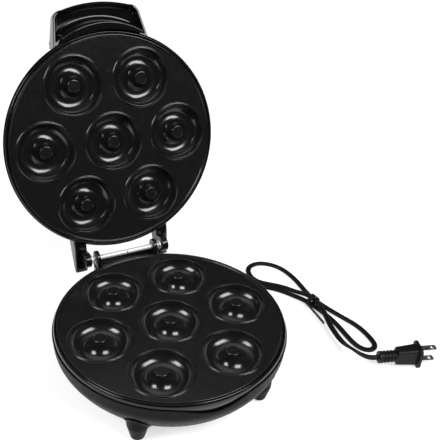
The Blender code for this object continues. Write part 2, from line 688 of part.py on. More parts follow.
def leg(x, y):
    """A tapered leg with a rounded tip, up into the wall."""
    z0 = LEG_TIP_Z - COOK_Z
    tip = [(LEG_TIP_R - LEG_TIP_ROUND * inward, z0 + LEG_TIP_ROUND * up) for inward, up in LEG_ROUND_SHARES]
    profile = [(0, z0)] + tip + [(LEG_ROOT_R, BASE_FLOOR_Z - COOK_Z), (LEG_ROOT_R, LEG_TOP_Z - COOK_Z),
                                 (0, LEG_TOP_Z - COOK_Z)]
    return turned("leg", profile, LEG_SIDES, parent=base_cook, at=(x, y, 0))


def ear(side):
    """A hinge ear of the base: a round end on a web that runs down into the hinge block."""
    arc = [(EAR_R * math.cos(a), EAR_R * math.sin(a)) for a in np.linspace(0, math.pi, ROUND_END_POINTS)]
    foot = -BLOCK_TOP_DROP - BLOCK_H / 2
    outline = arc + [(-EAR_R, foot), (EAR_R, foot)]
    start = EAR_IN_X if side > 0 else -EAR_IN_X - EAR_T
    centre = (0, HINGE_Y, HINGE_Z - COOK_Z)
    return prism("ear", outline, start, start + EAR_T, parent=base_cook, turn=YZ_SLAB, at=centre)


def base_shell():
    edge = BASE.edge_z
    outside = [(0, edge), (BASE.case_r, edge)] + case_levels(BASE)
    outside += [(BASE_FOOT_R, FLOOR_LOW), (0, FLOOR_LOW)]
    shell = turned("base_shell", outside, BODY_SIDES, SATIN_BLACK, base_cook)
    for x in (-LEG_X, LEG_X):
        for y in (-LEG_Y, LEG_Y):
            join(shell, leg(x, y))
    half = EAR_IN_X + EAR_T
    top = HINGE_Z - COOK_Z - BLOCK_TOP_DROP
    root_y = HINGE_Y - BLOCK_ROOT
    join(shell, block("hinge_block", (-half, root_y, top - BLOCK_H), (half, HINGE_Y + BLOCK_REACH, top),
                      parent=base_cook))
    join(shell, ear(-1), ear(1))
    floor = [(BASE_FOOT_R - BASE.wall, FLOOR_TOP), (0, FLOOR_TOP)]
    cut(shell, turned("hollow", case_inside(BASE, floor), BODY_SIDES, parent=base_cook))
    pin_z = HINGE_Z - COOK_Z
    cut(shell, cylinder("pin_bore", PIN_BORE_R, (-ARM_IN_X, HINGE_Y, pin_z), (ARM_IN_X, HINGE_Y, pin_z),
                        PIN_SIDES, parent=base_cook))
    dip = [(DIP_MIDDLE_X - DIP_HALF_W, edge + OVERRUN)]
    for i in range(DIP_STEPS + 1):
        share = -1 + 2 * i / DIP_STEPS
        drop = DIP_DEPTH * (1 + math.cos(math.pi * share)) / 2
        dip.append((DIP_MIDDLE_X + DIP_HALF_W * share, edge - drop))
    dip.append((DIP_MIDDLE_X + DIP_HALF_W, edge + OVERRUN))
    cut(shell, prism("dip", dip, BASE.case_r / 2, BASE.case_r + OVERRUN, parent=base_cook, turn=XZ_SLAB))
    flange_low = flange_levels(BASE)[1]
    for degrees in PILLAR_ANGLES:
        foot = polar(SHELL_SCREW_R, degrees, FLOOR_LOW + EDGE_BITE)
        head = polar(SHELL_SCREW_R, degrees, flange_low - SEAT_GAP)
        join(shell, cylinder("pillar", FOOT_PILLAR_R, foot, head, SCREW_SIDES, parent=base_cook))
        low = polar(SHELL_SCREW_R, degrees, FLOOR_LOW - OVERRUN)
        high = polar(SHELL_SCREW_R, degrees, flange_low + OVERRUN)
        recess = polar(SHELL_SCREW_R, degrees, FLOOR_LOW + COUNTERBORE_H)
        cut(shell, cylinder("bore", SCREW_BORE_R, low, high, SCREW_SIDES, parent=base_cook),
            cylinder("counterbore", COUNTERBORE_R, low, recess, SCREW_SIDES, parent=base_cook))
    for i in range(VENTS):
        outline = [(VENT_IN_R, -VENT_W / 2), (VENT_OUT_R, -VENT_W / 2), (VENT_OUT_R, VENT_W / 2),
                   (VENT_IN_R, VENT_W / 2)]
        spin = Matrix.Rotation(math.tau * i / VENTS, 4, "Z")
        cut(shell, prism("vent", outline, FLOOR_LOW - OVERRUN, FLOOR_TOP + OVERRUN, parent=base_cook,
                         turn=spin))
    for x in (-LEG_X, LEG_X):
        for y in (-LEG_Y, LEG_Y):
            low, high = (x, y, -COOK_Z - OVERRUN), (x, y, PAD_T + SEAT_GAP - COOK_Z)
            cut(shell, cylinder("pad_seat", PAD_R + SEAT_GAP, low, high, SCREW_SIDES, parent=base_cook))
    start, end = (0, BASE.case_r / 2, CORD_Z - COOK_Z), (0, BASE.case_r + OVERRUN, CORD_Z - COOK_Z)
    cut(shell, cylinder("cord_hole", RELIEF_BORE_R, start, end, RELIEF_SIDES, parent=base_cook))
    return shell


def handle_outline(inset, set_back=0):
    """Half outline of the handle mirrored: straight sides, round corners and a bowed front edge."""
    tip_y = HANDLE_TIP_Y + inset + set_back
    tip_x = HANDLE_TIP_HALF_W - inset
    root_x = HANDLE_ROOT_HALF_W - inset
    round_r = HANDLE_CORNER - inset
    corner_y = tip_y + HANDLE_BOW + round_r
    side = [(root_x, HANDLE_ROOT_Y)]
    for i in range(HANDLE_CORNER_STEPS + 1):
        angle = math.pi / 2 * i / HANDLE_CORNER_STEPS
        side.append((tip_x - round_r + round_r * math.cos(angle), corner_y - round_r * math.sin(angle)))
    flat = tip_x - round_r
    front = []
    for i in range(1, HANDLE_BOW_STEPS):
        x = flat * (1 - 2 * i / HANDLE_BOW_STEPS)
        front.append((x, tip_y + HANDLE_BOW * (x / flat) ** 2))
    return side + front + [(-x, y) for x, y in reversed(side)]


def rim_level(y):
    """Level of the handle's rim, which slopes back from the root to the front."""
    return -HANDLE_LOW - HANDLE_LIFT * (HANDLE_ROOT_Y - y) / (HANDLE_ROOT_Y - HANDLE_TIP_Y)


def chin_outline():
    """A crescent: the bowed front edge, and behind it the arc round the cover's edge."""
    front = math.asin(CHIN_HALF_W / CHIN_BOW_R)
    back = math.asin(CHIN_HALF_W / CHIN_IN_R)
    return ([(CHIN_BOW_R * math.sin(a), CHIN_Y - CHIN_BOW_R + CHIN_BOW_R * math.cos(a))
             for a in np.linspace(front, -front, CHIN_POINTS)]
            + [(CHIN_IN_R * math.sin(a), CHIN_IN_R * math.cos(a)) for a in np.linspace(-back, back, CHIN_POINTS)])


def arm(side):
    """A hinge arm of the lid over the axis, and the knuckle under it that turns on the pin."""
    outline = [(ARM_REACH * back, ARM_REACH * up) for back, up in ARM_SHARES]
    start = ARM_IN_X if side > 0 else -ARM_IN_X - ARM_T
    slab = prism("arm", outline, start, start + ARM_T, parent=lid, turn=YZ_SLAB)
    arc = [(KNUCKLE_R * math.cos(a), -KNUCKLE_R * math.sin(a))
           for a in np.linspace(0, math.pi, ROUND_END_POINTS)]
    outline = arc + [(-KNUCKLE_R, KNUCKLE_TOP), (KNUCKLE_R, KNUCKLE_TOP + EDGE_BITE * 2)]
    start = ARM_IN_X + EDGE_BITE / 2 if side > 0 else -ARM_IN_X - EDGE_BITE / 2 - KNUCKLE_T
    join(slab, prism("knuckle", outline, start, start + KNUCKLE_T, parent=lid, turn=YZ_SLAB))
    return slab


def lid_cover():
    outside = [(0, LID.edge_z), (LID.case_r, LID.edge_z)] + case_levels(LID) + [(0, -LID.depth)]
    cover = turned("lid_cover", outside, BODY_SIDES, GLOSS_BLACK, lid_cook)
    # the cook frame of the lid is turned over, so the handle's front is at +Y there
    back = handle_outline(HANDLE_DRAFT + HANDLE_ROUND, HANDLE_BACK_IN)
    sections = [[(x, -y, -HANDLE_HIGH) for x, y in back],
                [(x, -y, HANDLE_ROUND - HANDLE_HIGH) for x, y in handle_outline(HANDLE_DRAFT, HANDLE_BACK_IN)],
                [(x, -y, rim_level(y)) for x, y in handle_outline(0)]]
    join(cover, lofted("handle", sections, None, lid_cook))
    join(cover, prism("chin", chin_outline(), rim_level(HANDLE_TIP_Y), CHIN_PROUD, parent=lid_cook))
    join(cover, arm(-1), arm(1))
    dome = [(0, LID.wall / 2 - LID.depth)]
    cut(cover, turned("hollow", case_inside(LID, dome), BODY_SIDES, parent=lid_cook))
    grip = prism("grip", [(x, -y) for x, y in handle_outline(GRIP_WALL)], -HANDLE_LOW - GRIP_DEPTH,
                 -HANDLE_LOW + OVERRUN, parent=lid_cook)
    low = -HANDLE_HIGH - OVERRUN
    keep = [(0, OVERRUN), (CHIN_IN_R + EDGE_BITE, OVERRUN), (CHIN_IN_R + EDGE_BITE, low), (0, low)]
    cut(grip, turned("keep", keep, BODY_SIDES, parent=lid_cook),
        prism("chin_keep", chin_outline(), low, OVERRUN, parent=lid_cook))
    cut(cover, grip)
    ends = ARM_IN_X + KNUCKLE_T - KNUCKLE_CAP_T
    cut(cover, cylinder("pin_bore", PIN_BORE_R, (-ends, 0, 0), (ends, 0, 0), PIN_SIDES, parent=lid))
    for side in (-1, 1):
        at = (side * LAMP_X, -LAMP_Y)
        cut(cover, cylinder("lens_hole", LENS_R + SEAT_GAP, (*at, -LID.depth - OVERRUN),
                            (*at, -LID.depth + LENS_L + OVERRUN), SCREW_SIDES, parent=lid_cook))
    return cover


# Heating pieces
def element(name, half, parent):
    """A tubular heater bent to a ring under the moulds, open at the back."""
    middle = 90 + ELEMENT_GAP_DEG / 2
    sweep = 360 - ELEMENT_GAP_DEG
    points = [polar(MOULD_RING_R, middle + sweep * i / (ELEMENT_POINTS - 1), element_level(half))
              for i in range(ELEMENT_POINTS)]
    return tube(name, points, ELEMENT_R, TIN_STEEL, parent, resolution=1)


def terminals(name, half, parent):
    """The two cold pins at the ends of a heater."""
    for side, label in ((1, "left"), (-1, "right")):
        angle = math.radians(90 + side * ELEMENT_GAP_DEG / 2)
        end = Vector((MOULD_RING_R * math.cos(angle), MOULD_RING_R * math.sin(angle), element_level(half)))
        along = Vector((math.sin(angle), -math.cos(angle), 0)) * side
        start = end + along * SEAT_GAP
        cylinder(f"{name}_{label}", TERMINAL_R, start, start + along * TERMINAL_L, SCREW_SIDES, BRASS, parent)


def reflector(name, half, finish, parent):
    """A thin pan under the heater, with a turned-up rim and three screw holes."""
    top, under = pan_levels(half)
    rim = top + PAN_RIM_H
    pan = turned(name, [(0, top), (PAN_R - PAN_T, top), (PAN_R - PAN_T, rim), (PAN_R, rim), (PAN_R, under),
                        (0, under)], PAN_SIDES, finish, parent)
    for degrees in PILLAR_ANGLES:
        low, high = polar(POST_SCREW_R, degrees, under - OVERRUN), polar(POST_SCREW_R, degrees, top + OVERRUN)
        cut(pan, cylinder("hole", SCREW_BORE_R, low, high, SCREW_SIDES, parent=parent))
    return pan


def screw_profile(head, end):
    """Head from the level head to 0, then the shank to the level end."""
    shank = end - math.copysign(SCREW_TIP, end)
    return [(0, head), (SCREW_HEAD_R * SCREW_FACE_SHARE, head), (SCREW_HEAD_R, 0), (SCREW_R, 0),
            (SCREW_R, shank), (SCREW_R / 2, end), (0, end)]


def screw(name, head_at, length, parent):
    """A pan-head screw that points up, its head's upper face at head_at."""
    turned(name, screw_profile(-SCREW_HEAD_H, length), SCREW_SIDES, TIN_STEEL, parent, at=head_at)


# Base
base_shell()
collar("base_collar", BASE, base_cook, PILLAR_ANGLES)
cooking_plate("base_plate", BASE, base_cook)
element("base_element", BASE, base_cook)
terminals("base_element_terminal", BASE, base_cook)
reflector("base_reflector", BASE, TIN_STEEL, base_cook)

halves = ((BASE, "base", base_cook), (LID, "lid", lid_cook))
for number, degrees in enumerate(PILLAR_ANGLES, 1):
    for half, label, parent in halves:
        pan_at = polar(POST_SCREW_R, degrees, pan_levels(half)[1] - SEAT_GAP)
        screw(f"{label}_reflector_screw_{number}", pan_at, SCREW_BITE, parent)
    floor_at = polar(SHELL_SCREW_R, degrees, FLOOR_LOW + COUNTERBORE_H - SEAT_GAP)
    shell_length = flange_levels(BASE)[0] - FLOOR_LOW - COUNTERBORE_H
    screw(f"base_shell_screw_{number}", floor_at, shell_length, base_cook)
for number, degrees in enumerate(RIM_SCREW_ANGLES, 1):
    for half, label, parent in halves:
        tab_at = polar(RIM_SCREW_R, degrees, flange_levels(half)[1] - SEAT_GAP)
        length = FLANGE_T + half.skirt_h - LIP_H - half.plate_wall / 2
        screw(f"{label}_plate_screw_{number}", tab_at, length, parent)

pad_places = [(-LEG_X, -LEG_Y), (LEG_X, -LEG_Y), (-LEG_X, LEG_Y), (LEG_X, LEG_Y)]
for number, (x, y) in enumerate(pad_places, 1):
    cylinder(f"foot_pad_{number}", PAD_R, (x, y, 0), (x, y, PAD_T), SCREW_SIDES, RUBBER, base)

# Thermostat, fuse, terminal block and wires
plate_under = -LIP_H - BASE.plate_wall - SEAT_GAP
turned("base_thermostat", [
    (0, 0), (THERMOSTAT_R, 0), (THERMOSTAT_R, -THERMOSTAT_H), (THERMOSTAT_CAP_R, -THERMOSTAT_H),
    (THERMOSTAT_CAP_R, -THERMOSTAT_H - THERMOSTAT_CAP_H), (0, -THERMOSTAT_H - THERMOSTAT_CAP_H),
], RELIEF_SIDES, CERAMIC, base_cook, at=polar(POST_SCREW_R, 90, plate_under))
fuse = Vector(polar(POST_SCREW_R, 210, plate_under - FUSE_R))
along = Vector(polar(FUSE_L / 2, 120))
cylinder("thermal_fuse", FUSE_R, fuse - along, fuse + along, SCREW_SIDES, BRASS, base_cook)

floor_top = FLOOR_TOP + COOK_Z + SEAT_GAP
half_x, half_y = BLOCK_SIZE[0] / 2, BLOCK_SIZE[1] / 2
block("terminal_block", (-half_x, BLOCK_Y - half_y, floor_top),
      (half_x, BLOCK_Y + half_y, floor_top + BLOCK_SIZE[2]), CERAMIC, base)
half_x, half_y = CLAMP_SIZE[0] / 2, CLAMP_SIZE[1] / 2
clamp_top = floor_top + CLAMP_SIZE[2]
clamp = block("cord_clamp", (-half_x, CLAMP_Y - half_y, floor_top), (half_x, CLAMP_Y + half_y, clamp_top),
              SATIN_BLACK, base)
tail_r = CORD_D / 2
cut(clamp, cylinder("lead_way", tail_r + SEAT_GAP, (0, CLAMP_Y - CLAMP_SIZE[1], CORD_Z),
                    (0, CLAMP_Y + CLAMP_SIZE[1], CORD_Z), RELIEF_SIDES, parent=base))
for side, label in ((-1, "left"), (1, "right")):
    top = (side * CLAMP_SCREW_X, CLAMP_Y, clamp_top + SEAT_GAP)
    low = (side * CLAMP_SCREW_X, CLAMP_Y, clamp_top - CLAMP_SCREW_L - SEAT_GAP)
    cut(clamp, cylinder("bore", SCREW_BORE_R, low, (top[0], top[1], clamp_top + OVERRUN), SCREW_SIDES,
                        parent=base))
    turned(f"cord_clamp_screw_{label}", screw_profile(SCREW_HEAD_H, -CLAMP_SCREW_L), SCREW_SIDES, TIN_STEEL,
           base, at=top)

# Strain relief, and the lead's tail inside the shell
def wall_radius(height):
    """The outer radius of the shell at a height above the table."""
    levels = [(BASE.case_r, BASE.edge_z)] + case_levels(BASE) + [(BASE_FOOT_R, FLOOR_LOW)]
    radii, depths = zip(*levels)
    return float(np.interp(COOK_Z - height, [-d for d in depths], radii))


root_at = wall_radius(CORD_Z + RELIEF_ROOT_R) + RELIEF_STAND
flange_end = wall_radius(CORD_Z - RELIEF_FLANGE_R - BASE.wall / 2) - BASE.wall - SEAT_GAP
relief = [(0, flange_end - RELIEF_FLANGE_T), (RELIEF_FLANGE_R, flange_end - RELIEF_FLANGE_T),
          (RELIEF_FLANGE_R, flange_end), (RELIEF_NECK_R, flange_end),
          (RELIEF_NECK_R, root_at), (RELIEF_ROOT_R, root_at)]
ribs_start = root_at + RELIEF_FLANGE_T
for i in range(RELIEF_RIBS):
    for step, deep in RIB_SHARES:
        share = (i + step) / RELIEF_RIBS
        radius = RELIEF_ROOT_R + (RELIEF_TIP_R - RELIEF_ROOT_R) * share - RELIEF_RIB_DEEP * deep
        relief.append((radius, ribs_start + (RELIEF_END_Y - ribs_start) * share))
relief += [(RELIEF_TIP_R, RELIEF_END_Y), (0, RELIEF_END_Y)]
TO_BACK = Matrix.Rotation(-math.pi / 2, 4, "X")
turned("strain_relief", relief, RELIEF_SIDES, BLACK_VINYL, base, at=(0, 0, CORD_Z), turn=TO_BACK)
tail_start = (0, BLOCK_Y + BLOCK_SIZE[1] / 2 + SEAT_GAP, CORD_Z)
tail_end = (0, flange_end - RELIEF_FLANGE_T - SEAT_GAP, CORD_Z)
cylinder("mains_lead_tail", tail_r, tail_start, tail_end, RELIEF_SIDES, BLACK_VINYL, base)

# Wires from the terminal block up to the heater's pins
pin_z = COOK_Z + element_level(BASE)
gap_angle = math.radians(ELEMENT_GAP_DEG / 2)
pin_x = MOULD_RING_R * math.sin(gap_angle) - (TERMINAL_L + SEAT_GAP) * math.cos(gap_angle)
pin_y = MOULD_RING_R * math.cos(gap_angle) + (TERMINAL_L + SEAT_GAP) * math.sin(gap_angle)
rim_z = COOK_Z + pan_levels(BASE)[0] + PAN_RIM_H
block_face = BLOCK_Y + BLOCK_SIZE[1] / 2
for side, label in ((-1, "left"), (1, "right")):
    wire_points = [
        (side * (pin_x - TERMINAL_R / 2), pin_y + TERMINAL_R + SEAT_GAP, pin_z),
        (side * (pin_x + WIRE_CLEAR), pin_y + WIRE_CLEAR * 2, pin_z + WIRE_CLEAR),
        (side * (WIRE_SIDE_X - WIRE_CLEAR), PAN_R + WIRE_CLEAR / 2, rim_z + WIRE_CLEAR),
        (side * WIRE_SIDE_X, PAN_R + WIRE_CLEAR * 2, rim_z - WIRE_CLEAR),
        (side * WIRE_SIDE_X, PAN_R + WIRE_CLEAR, floor_top + WIRE_CLEAR * 2),
        (side * (WIRE_SIDE_X - WIRE_CLEAR * 2), block_face + WIRE_CLEAR * 2, floor_top + WIRE_CLEAR),
        (side * (WIRE_SIDE_X - WIRE_CLEAR * 2), block_face + SEAT_GAP, floor_top + WIRE_CLEAR),
    ]
    tube(f"base_wire_{label}", smooth_curve(wire_points, WIRE_POINTS), WIRE_R, CERAMIC, base, resolution=1)

# Hinge pins and washers
pin_end = ARM_IN_X + KNUCKLE_T - KNUCKLE_CAP_T - SEAT_GAP
split = PIN_SPLIT_GAP / 2
for side, label in ((-1, "left"), (1, "right")):
    start = (PIN_SPLIT_X + side * split, HINGE_Y, HINGE_Z)
    cylinder(f"hinge_pin_{label}", PIN_R, start, (side * pin_end, HINGE_Y, HINGE_Z), PIN_SIDES, STEEL, base)
    spin = Matrix.Rotation(math.pi / 2, 4, "Y")
    washer = [(PIN_BORE_R, 0), (WASHER_R, 0), (WASHER_R, WASHER_T), (PIN_BORE_R, WASHER_T)]
    low_x = ARM_IN_X - SEAT_GAP - WASHER_T if side > 0 else SEAT_GAP - ARM_IN_X
    turned(f"hinge_washer_{label}", washer, PIN_SIDES, STEEL, base, at=(low_x, HINGE_Y, HINGE_Z), turn=spin)

# Lid
lid_cover()
collar("lid_collar", LID, lid_cook)
cooking_plate("lid_plate", LID, lid_cook)
element("lid_element", LID, lid_cook)
terminals("lid_element_terminal", LID, lid_cook)
reflector("lid_reflector", LID, ALUMINIUM, lid_cook)
for side, label, finish in ((-1, "red", RED_LENS), (1, "green", GREEN_LENS)):
    at = (side * LAMP_X, -LAMP_Y)
    lens_out = -LID.depth * LENS_SEAT_SHARE
    lens_in = lens_out + LENS_L
    lens = [(0, lens_out - LENS_PROUD), (LENS_R * LENS_FACE_SHARE, lens_out - LENS_PROUD), (LENS_R, lens_out),
            (LENS_R, lens_in), (0, lens_in)]
    turned(f"lamp_lens_{label}", lens, RELIEF_SIDES, finish, lid_cook, at=(*at, 0))
    cylinder(f"neon_lamp_{label}", LAMP_R, (*at, lens_in + SEAT_GAP), (*at, lens_in + SEAT_GAP + LAMP_L),
             SCREW_SIDES, CERAMIC, lid_cook)

# Power cord
tube("power_cord", smooth_curve(CORD_ROUTE, CORD_POINTS), CORD_D / 2, BLACK_VINYL, base, resolution=2)
fine = smooth_curve(CORD_ROUTE, CORD_FINE_POINTS)
step = float(np.linalg.norm(fine[1] - fine[0]))
apart = np.linalg.norm(fine[:, None] - fine[None], axis=2)
index = np.arange(len(fine))
near = np.abs(index[:, None] - index[None]) * step < CORD_SAME_DIAMETERS * CORD_D
apart[near] = np.inf
length, gap = step * (len(fine) - 1) / MM, (apart.min() - CORD_D) / MM
print(f"cord length {length:.0f} mm, least gap to itself {gap:.2f} mm")

# Tie round the three strands where they cross, with the end of its strip laid beside them
along = Vector((math.sin(TIE_TURN), -math.cos(TIE_TURN), 0))
across = Vector((math.cos(TIE_TURN), math.sin(TIE_TURN), 0))
middle = Vector((*TIE_AT, 0))
reach = [(Vector(point) - middle).dot(along) for point in fine]
strands = []
for i in range(len(fine) - 1):
    beside = (Vector(fine[i]) - middle).dot(across)
    if reach[i] * reach[i + 1] <= 0 and abs(beside) < TIE_REACH:
        strands.append((beside, fine[i][2]))


def round_strands(radius):
    """The taut outline at a distance round the strands."""
    outline = []
    for i in range(TIE_SIDES):
        way = (math.cos(math.tau * i / TIE_SIDES), math.sin(math.tau * i / TIE_SIDES))
        centre = max(strands, key=lambda strand: strand[0] * way[0] + strand[1] * way[1])
        outline.append((centre[0] + radius * way[0], centre[1] + radius * way[1]))
    return outline


inside = CORD_D / 2 + TIE_CLEAR
stand = Matrix((across, Vector((0, 0, 1)), along)).transposed().to_4x4()
stand.translation = middle
tie = hoop("cord_tie", round_strands(inside), round_strands(inside + TIE_T), -TIE_W / 2, TIE_W / 2,
           BLACK_VINYL, base, stand)
join(tie, prism("tail", TIE_TAIL, TIE_TAIL_LOW, TIE_TAIL_HIGH, parent=base))


# Plug
def plug_section(distance, half_w, half_h, corner):
    """A rounded rectangle across the plug's axis."""
    points = []
    for side_x, side_z, turn in ((1, 1, 0), (-1, 1, 90), (-1, -1, 180), (1, -1, 270)):
        for i in range(PLUG_CORNER_STEPS + 1):
            angle = math.radians(turn + 90 * i / PLUG_CORNER_STEPS)
            points.append((side_x * (half_w - corner) + corner * math.cos(angle),
                           side_z * (half_h - corner) + corner * math.sin(angle)))
    return [plug_at @ Vector((distance, y, z)) for y, z in points]


plug_at = Matrix.Rotation(PLUG_TURN, 4, "Z")
plug_at.translation = Vector(CORD_ROUTE[-1]) + plug_at @ Vector((SEAT_GAP, 0, 0))
neck_w, neck_h = PLUG_NECK
neck_corner = neck_w - EDGE_BITE
sections = [(0, neck_w - EDGE_BITE, neck_h - EDGE_BITE, neck_corner - EDGE_BITE),
            (EDGE_BITE, neck_w, neck_h, neck_corner), (PLUG_NECK_PLAIN, neck_w, neck_h, neck_corner)]
rib = (PLUG_NECK_L - PLUG_NECK_PLAIN) / PLUG_NECK_RIBS
groove = PLUG_NECK_GROOVE
for i in range(PLUG_NECK_RIBS):
    start = PLUG_NECK_PLAIN + rib * i
    low = (neck_w - groove, neck_h - groove, neck_corner - groove)
    sections += [(start + groove / 2, *low), (start + rib / 2 - groove / 2, *low),
                 (start + rib / 2, neck_w, neck_h, neck_corner),
                 (start + rib - groove / 2, neck_w, neck_h, neck_corner)]
body_end = PLUG_NECK_L + PLUG_BODY_L
face_at = body_end + PLUG_FLANGE_T
sections += [(PLUG_NECK_L, *PLUG_BODY_BACK, PLUG_CORNER), (body_end, *PLUG_BODY_FACE, PLUG_CORNER),
             (body_end + EDGE_BITE, *PLUG_FLANGE, PLUG_FLANGE_CORNER),
             (face_at, *PLUG_FLANGE, PLUG_FLANGE_CORNER)]
plug = lofted("plug_body", [plug_section(*section) for section in sections], BLACK_VINYL, base)
for side, label in ((1, "upper"), (-1, "lower")):
    mid_z = side * BLADE_PITCH / 2
    start, end = face_at - BLADE_ROOT + SEAT_GAP, face_at + BLADE_L
    half_w, half_tip = BLADE_W / 2, BLADE_TIP_W / 2
    outline = [(start, -half_w), (end - BLADE_TIP_L, -half_w), (end, -half_tip), (end, half_tip),
               (end - BLADE_TIP_L, half_w), (start, half_w)]
    low, high = mid_z - BLADE_T / 2, mid_z + BLADE_T / 2
    blade = prism(f"plug_blade_{label}", outline, low, high, STEEL, base, turn=plug_at)
    hole = face_at + BLADE_HOLE_L
    cut(blade, cylinder("hole", BLADE_HOLE_R, plug_at @ Vector((hole, 0, low - OVERRUN)),
                        plug_at @ Vector((hole, 0, high + OVERRUN)), SCREW_SIDES, parent=base))
    half_slot = half_w + SEAT_GAP
    slot = [(face_at - BLADE_ROOT, -half_slot), (face_at + OVERRUN, -half_slot),
            (face_at + OVERRUN, half_slot), (face_at - BLADE_ROOT, half_slot)]
    cut(plug, prism("slot", slot, low - SEAT_GAP, high + SEAT_GAP, parent=base, turn=plug_at))
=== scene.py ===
import math

import bmesh
import bpy
import numpy as np
from mathutils import Matrix, Vector


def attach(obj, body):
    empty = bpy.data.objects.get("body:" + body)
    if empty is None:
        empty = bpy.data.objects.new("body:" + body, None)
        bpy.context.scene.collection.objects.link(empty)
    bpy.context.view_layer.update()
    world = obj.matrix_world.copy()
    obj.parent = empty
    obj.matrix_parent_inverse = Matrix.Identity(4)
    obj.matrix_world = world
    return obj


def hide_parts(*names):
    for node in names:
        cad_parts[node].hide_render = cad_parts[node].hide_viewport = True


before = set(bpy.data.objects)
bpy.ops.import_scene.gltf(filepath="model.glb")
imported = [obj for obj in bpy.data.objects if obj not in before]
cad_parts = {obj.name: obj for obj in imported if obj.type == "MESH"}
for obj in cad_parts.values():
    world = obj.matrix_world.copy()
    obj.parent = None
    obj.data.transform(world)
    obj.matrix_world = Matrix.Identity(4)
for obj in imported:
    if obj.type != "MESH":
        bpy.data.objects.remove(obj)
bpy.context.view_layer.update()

TURN = 2 * math.pi
MM = 0.001

# Layout in millimetres, as in the solids. Base pieces are drawn from the middle of the base, and lid pieces
# as if the lid were shut, from the same middle
BASE_Y = -50.5
COOK_Z = 53.0
SHUT_GAP = 2.0
HINGE_Y, HINGE_Z = 109.2, 52.9
LID_OPEN = math.radians(105.3)


def moved(x=0.0, y=0.0, z=0.0):
    """A place shifted by x, y and z."""
    place = np.eye(4)
    place[:3, 3] = x, y, z
    return place


def tilted(angle, axis="X"):
    """A place turned about an axis."""
    return np.array(Matrix.Rotation(angle, 4, axis))


ON_BASE = moved(y=BASE_Y)
ON_COOK = ON_BASE @ moved(z=COOK_Z)
ON_HINGE = ON_BASE @ moved(y=HINGE_Y, z=HINGE_Z)
ON_LID_AXIS = ON_HINGE @ tilted(-LID_OPEN)
ON_LID = ON_LID_AXIS @ moved(y=-HINGE_Y, z=COOK_Z + SHUT_GAP - HINGE_Z) @ tilted(math.pi)
# Outlines drawn in (y, z) are carried along x, and outlines in (x, z) along -y
ALONG_X = np.array([[0, 0, 1, 0], [1, 0, 0, 0], [0, 1, 0, 0], [0, 0, 0, 1]], float)


# Surfaces on grids of points
class Shape:
    """The surfaces of one piece, gathered in metres in the frame."""

    def __init__(self):
        self.points, self.faces, self.count = [], [], 0

    def grid(self, points, place, close_rows=False, close_cols=False, caps=False):
        """Quads between neighbours of a grid of points: P(i, j), P(i, j+1), P(i+1, j+1), P(i+1, j)."""
        points = np.asarray(points, float)
        rows, cols = points.shape[:2]
        self.points.append((points.reshape(-1, 3) @ place[:3, :3].T + place[:3, 3]) * MM)
        i = np.arange(rows if close_rows else rows - 1)
        j = np.arange(cols if close_cols else cols - 1)
        i, j = np.meshgrid(i, j, indexing="ij")
        p, q = (i + 1) % rows, (j + 1) % cols
        quads = np.stack([i * cols + j, i * cols + q, p * cols + q, p * cols + j], -1).reshape(-1, 4)
        self.faces += (quads + self.count).tolist()
        if caps:
            self.faces.append((np.arange(cols) + self.count).tolist())
            self.faces.append((np.arange(cols) + self.count + (rows - 1) * cols).tolist())
        self.count += rows * cols
        return self

    def turned(self, profile, place, sides=192, at=(0.0, 0.0), phase=0.0, closed=False):
        """(x + r cos a, y + r sin a, z) for each profile point (r, z) and each even angle a."""
        angle = phase + TURN * np.arange(sides) / sides
        r, z = np.asarray(profile, float).T[:, :, None]
        around = np.stack([at[0] + r * np.cos(angle), at[1] + r * np.sin(angle), z + 0 * angle], -1)
        return self.grid(around, place, close_rows=closed, close_cols=True)

    def slab(self, outline, low, high, edge, place, steps=5, hold=0.12):
        """An outline carried from low to high. Its rims are quarter circles of radius e: at the angle q the
        outline is drawn in by e (1 - sin q) at the height e (1 - cos q). Both ends are flat."""
        q = np.linspace(0, math.pi / 2, steps)
        draw = np.concatenate([[edge + hold], edge * (1 - np.sin(q))])
        rise = np.concatenate([[0], edge * (1 - np.cos(q))])
        level = np.concatenate([low + rise, (high - rise)[::-1]])
        draw = np.concatenate([draw, draw[::-1]])
        inward = inward_normals(outline)
        rows = outline[None] + draw[:, None, None] * inward[None]
        grid = np.concatenate([rows, np.broadcast_to(level[:, None, None], rows.shape[:2] + (1,))], -1)
        return self.grid(grid, place, close_cols=True, caps=True)

    def finish(self, name, finish, body, stands_for=(), slot=None, sharp=38.0):
        """Merges the seams, points the faces outward and sets the piece on its body."""
        mesh = bpy.data.meshes.new(name)
        mesh.from_pydata(np.concatenate(self.points).tolist(), [], self.faces)
        form = bmesh.new()
        form.from_mesh(mesh)
        bmesh.ops.remove_doubles(form, verts=form.verts, dist=2e-6)
        bmesh.ops.recalc_face_normals(form, faces=form.faces)
        form.to_mesh(mesh)
        form.free()
        mesh.shade_smooth()
        mesh.set_sharp_from_angle(angle=math.radians(sharp))
        mesh.materials.append(finish)
        made = bpy.data.objects.new(name, mesh)
        bpy.context.collection.objects.link(made)
        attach(made, body)
        if stands_for:
            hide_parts(*stands_for)
        return made


def inward_normals(outline):
    """For each point of an anticlockwise outline, the unit normal (-ty, tx) of the chord past it."""
    chord = np.roll(outline, -1, 0) - np.roll(outline, 1, 0)
    chord /= np.linalg.norm(chord, axis=1, keepdims=True)
    return np.stack([-chord[:, 1], chord[:, 0]], -1)


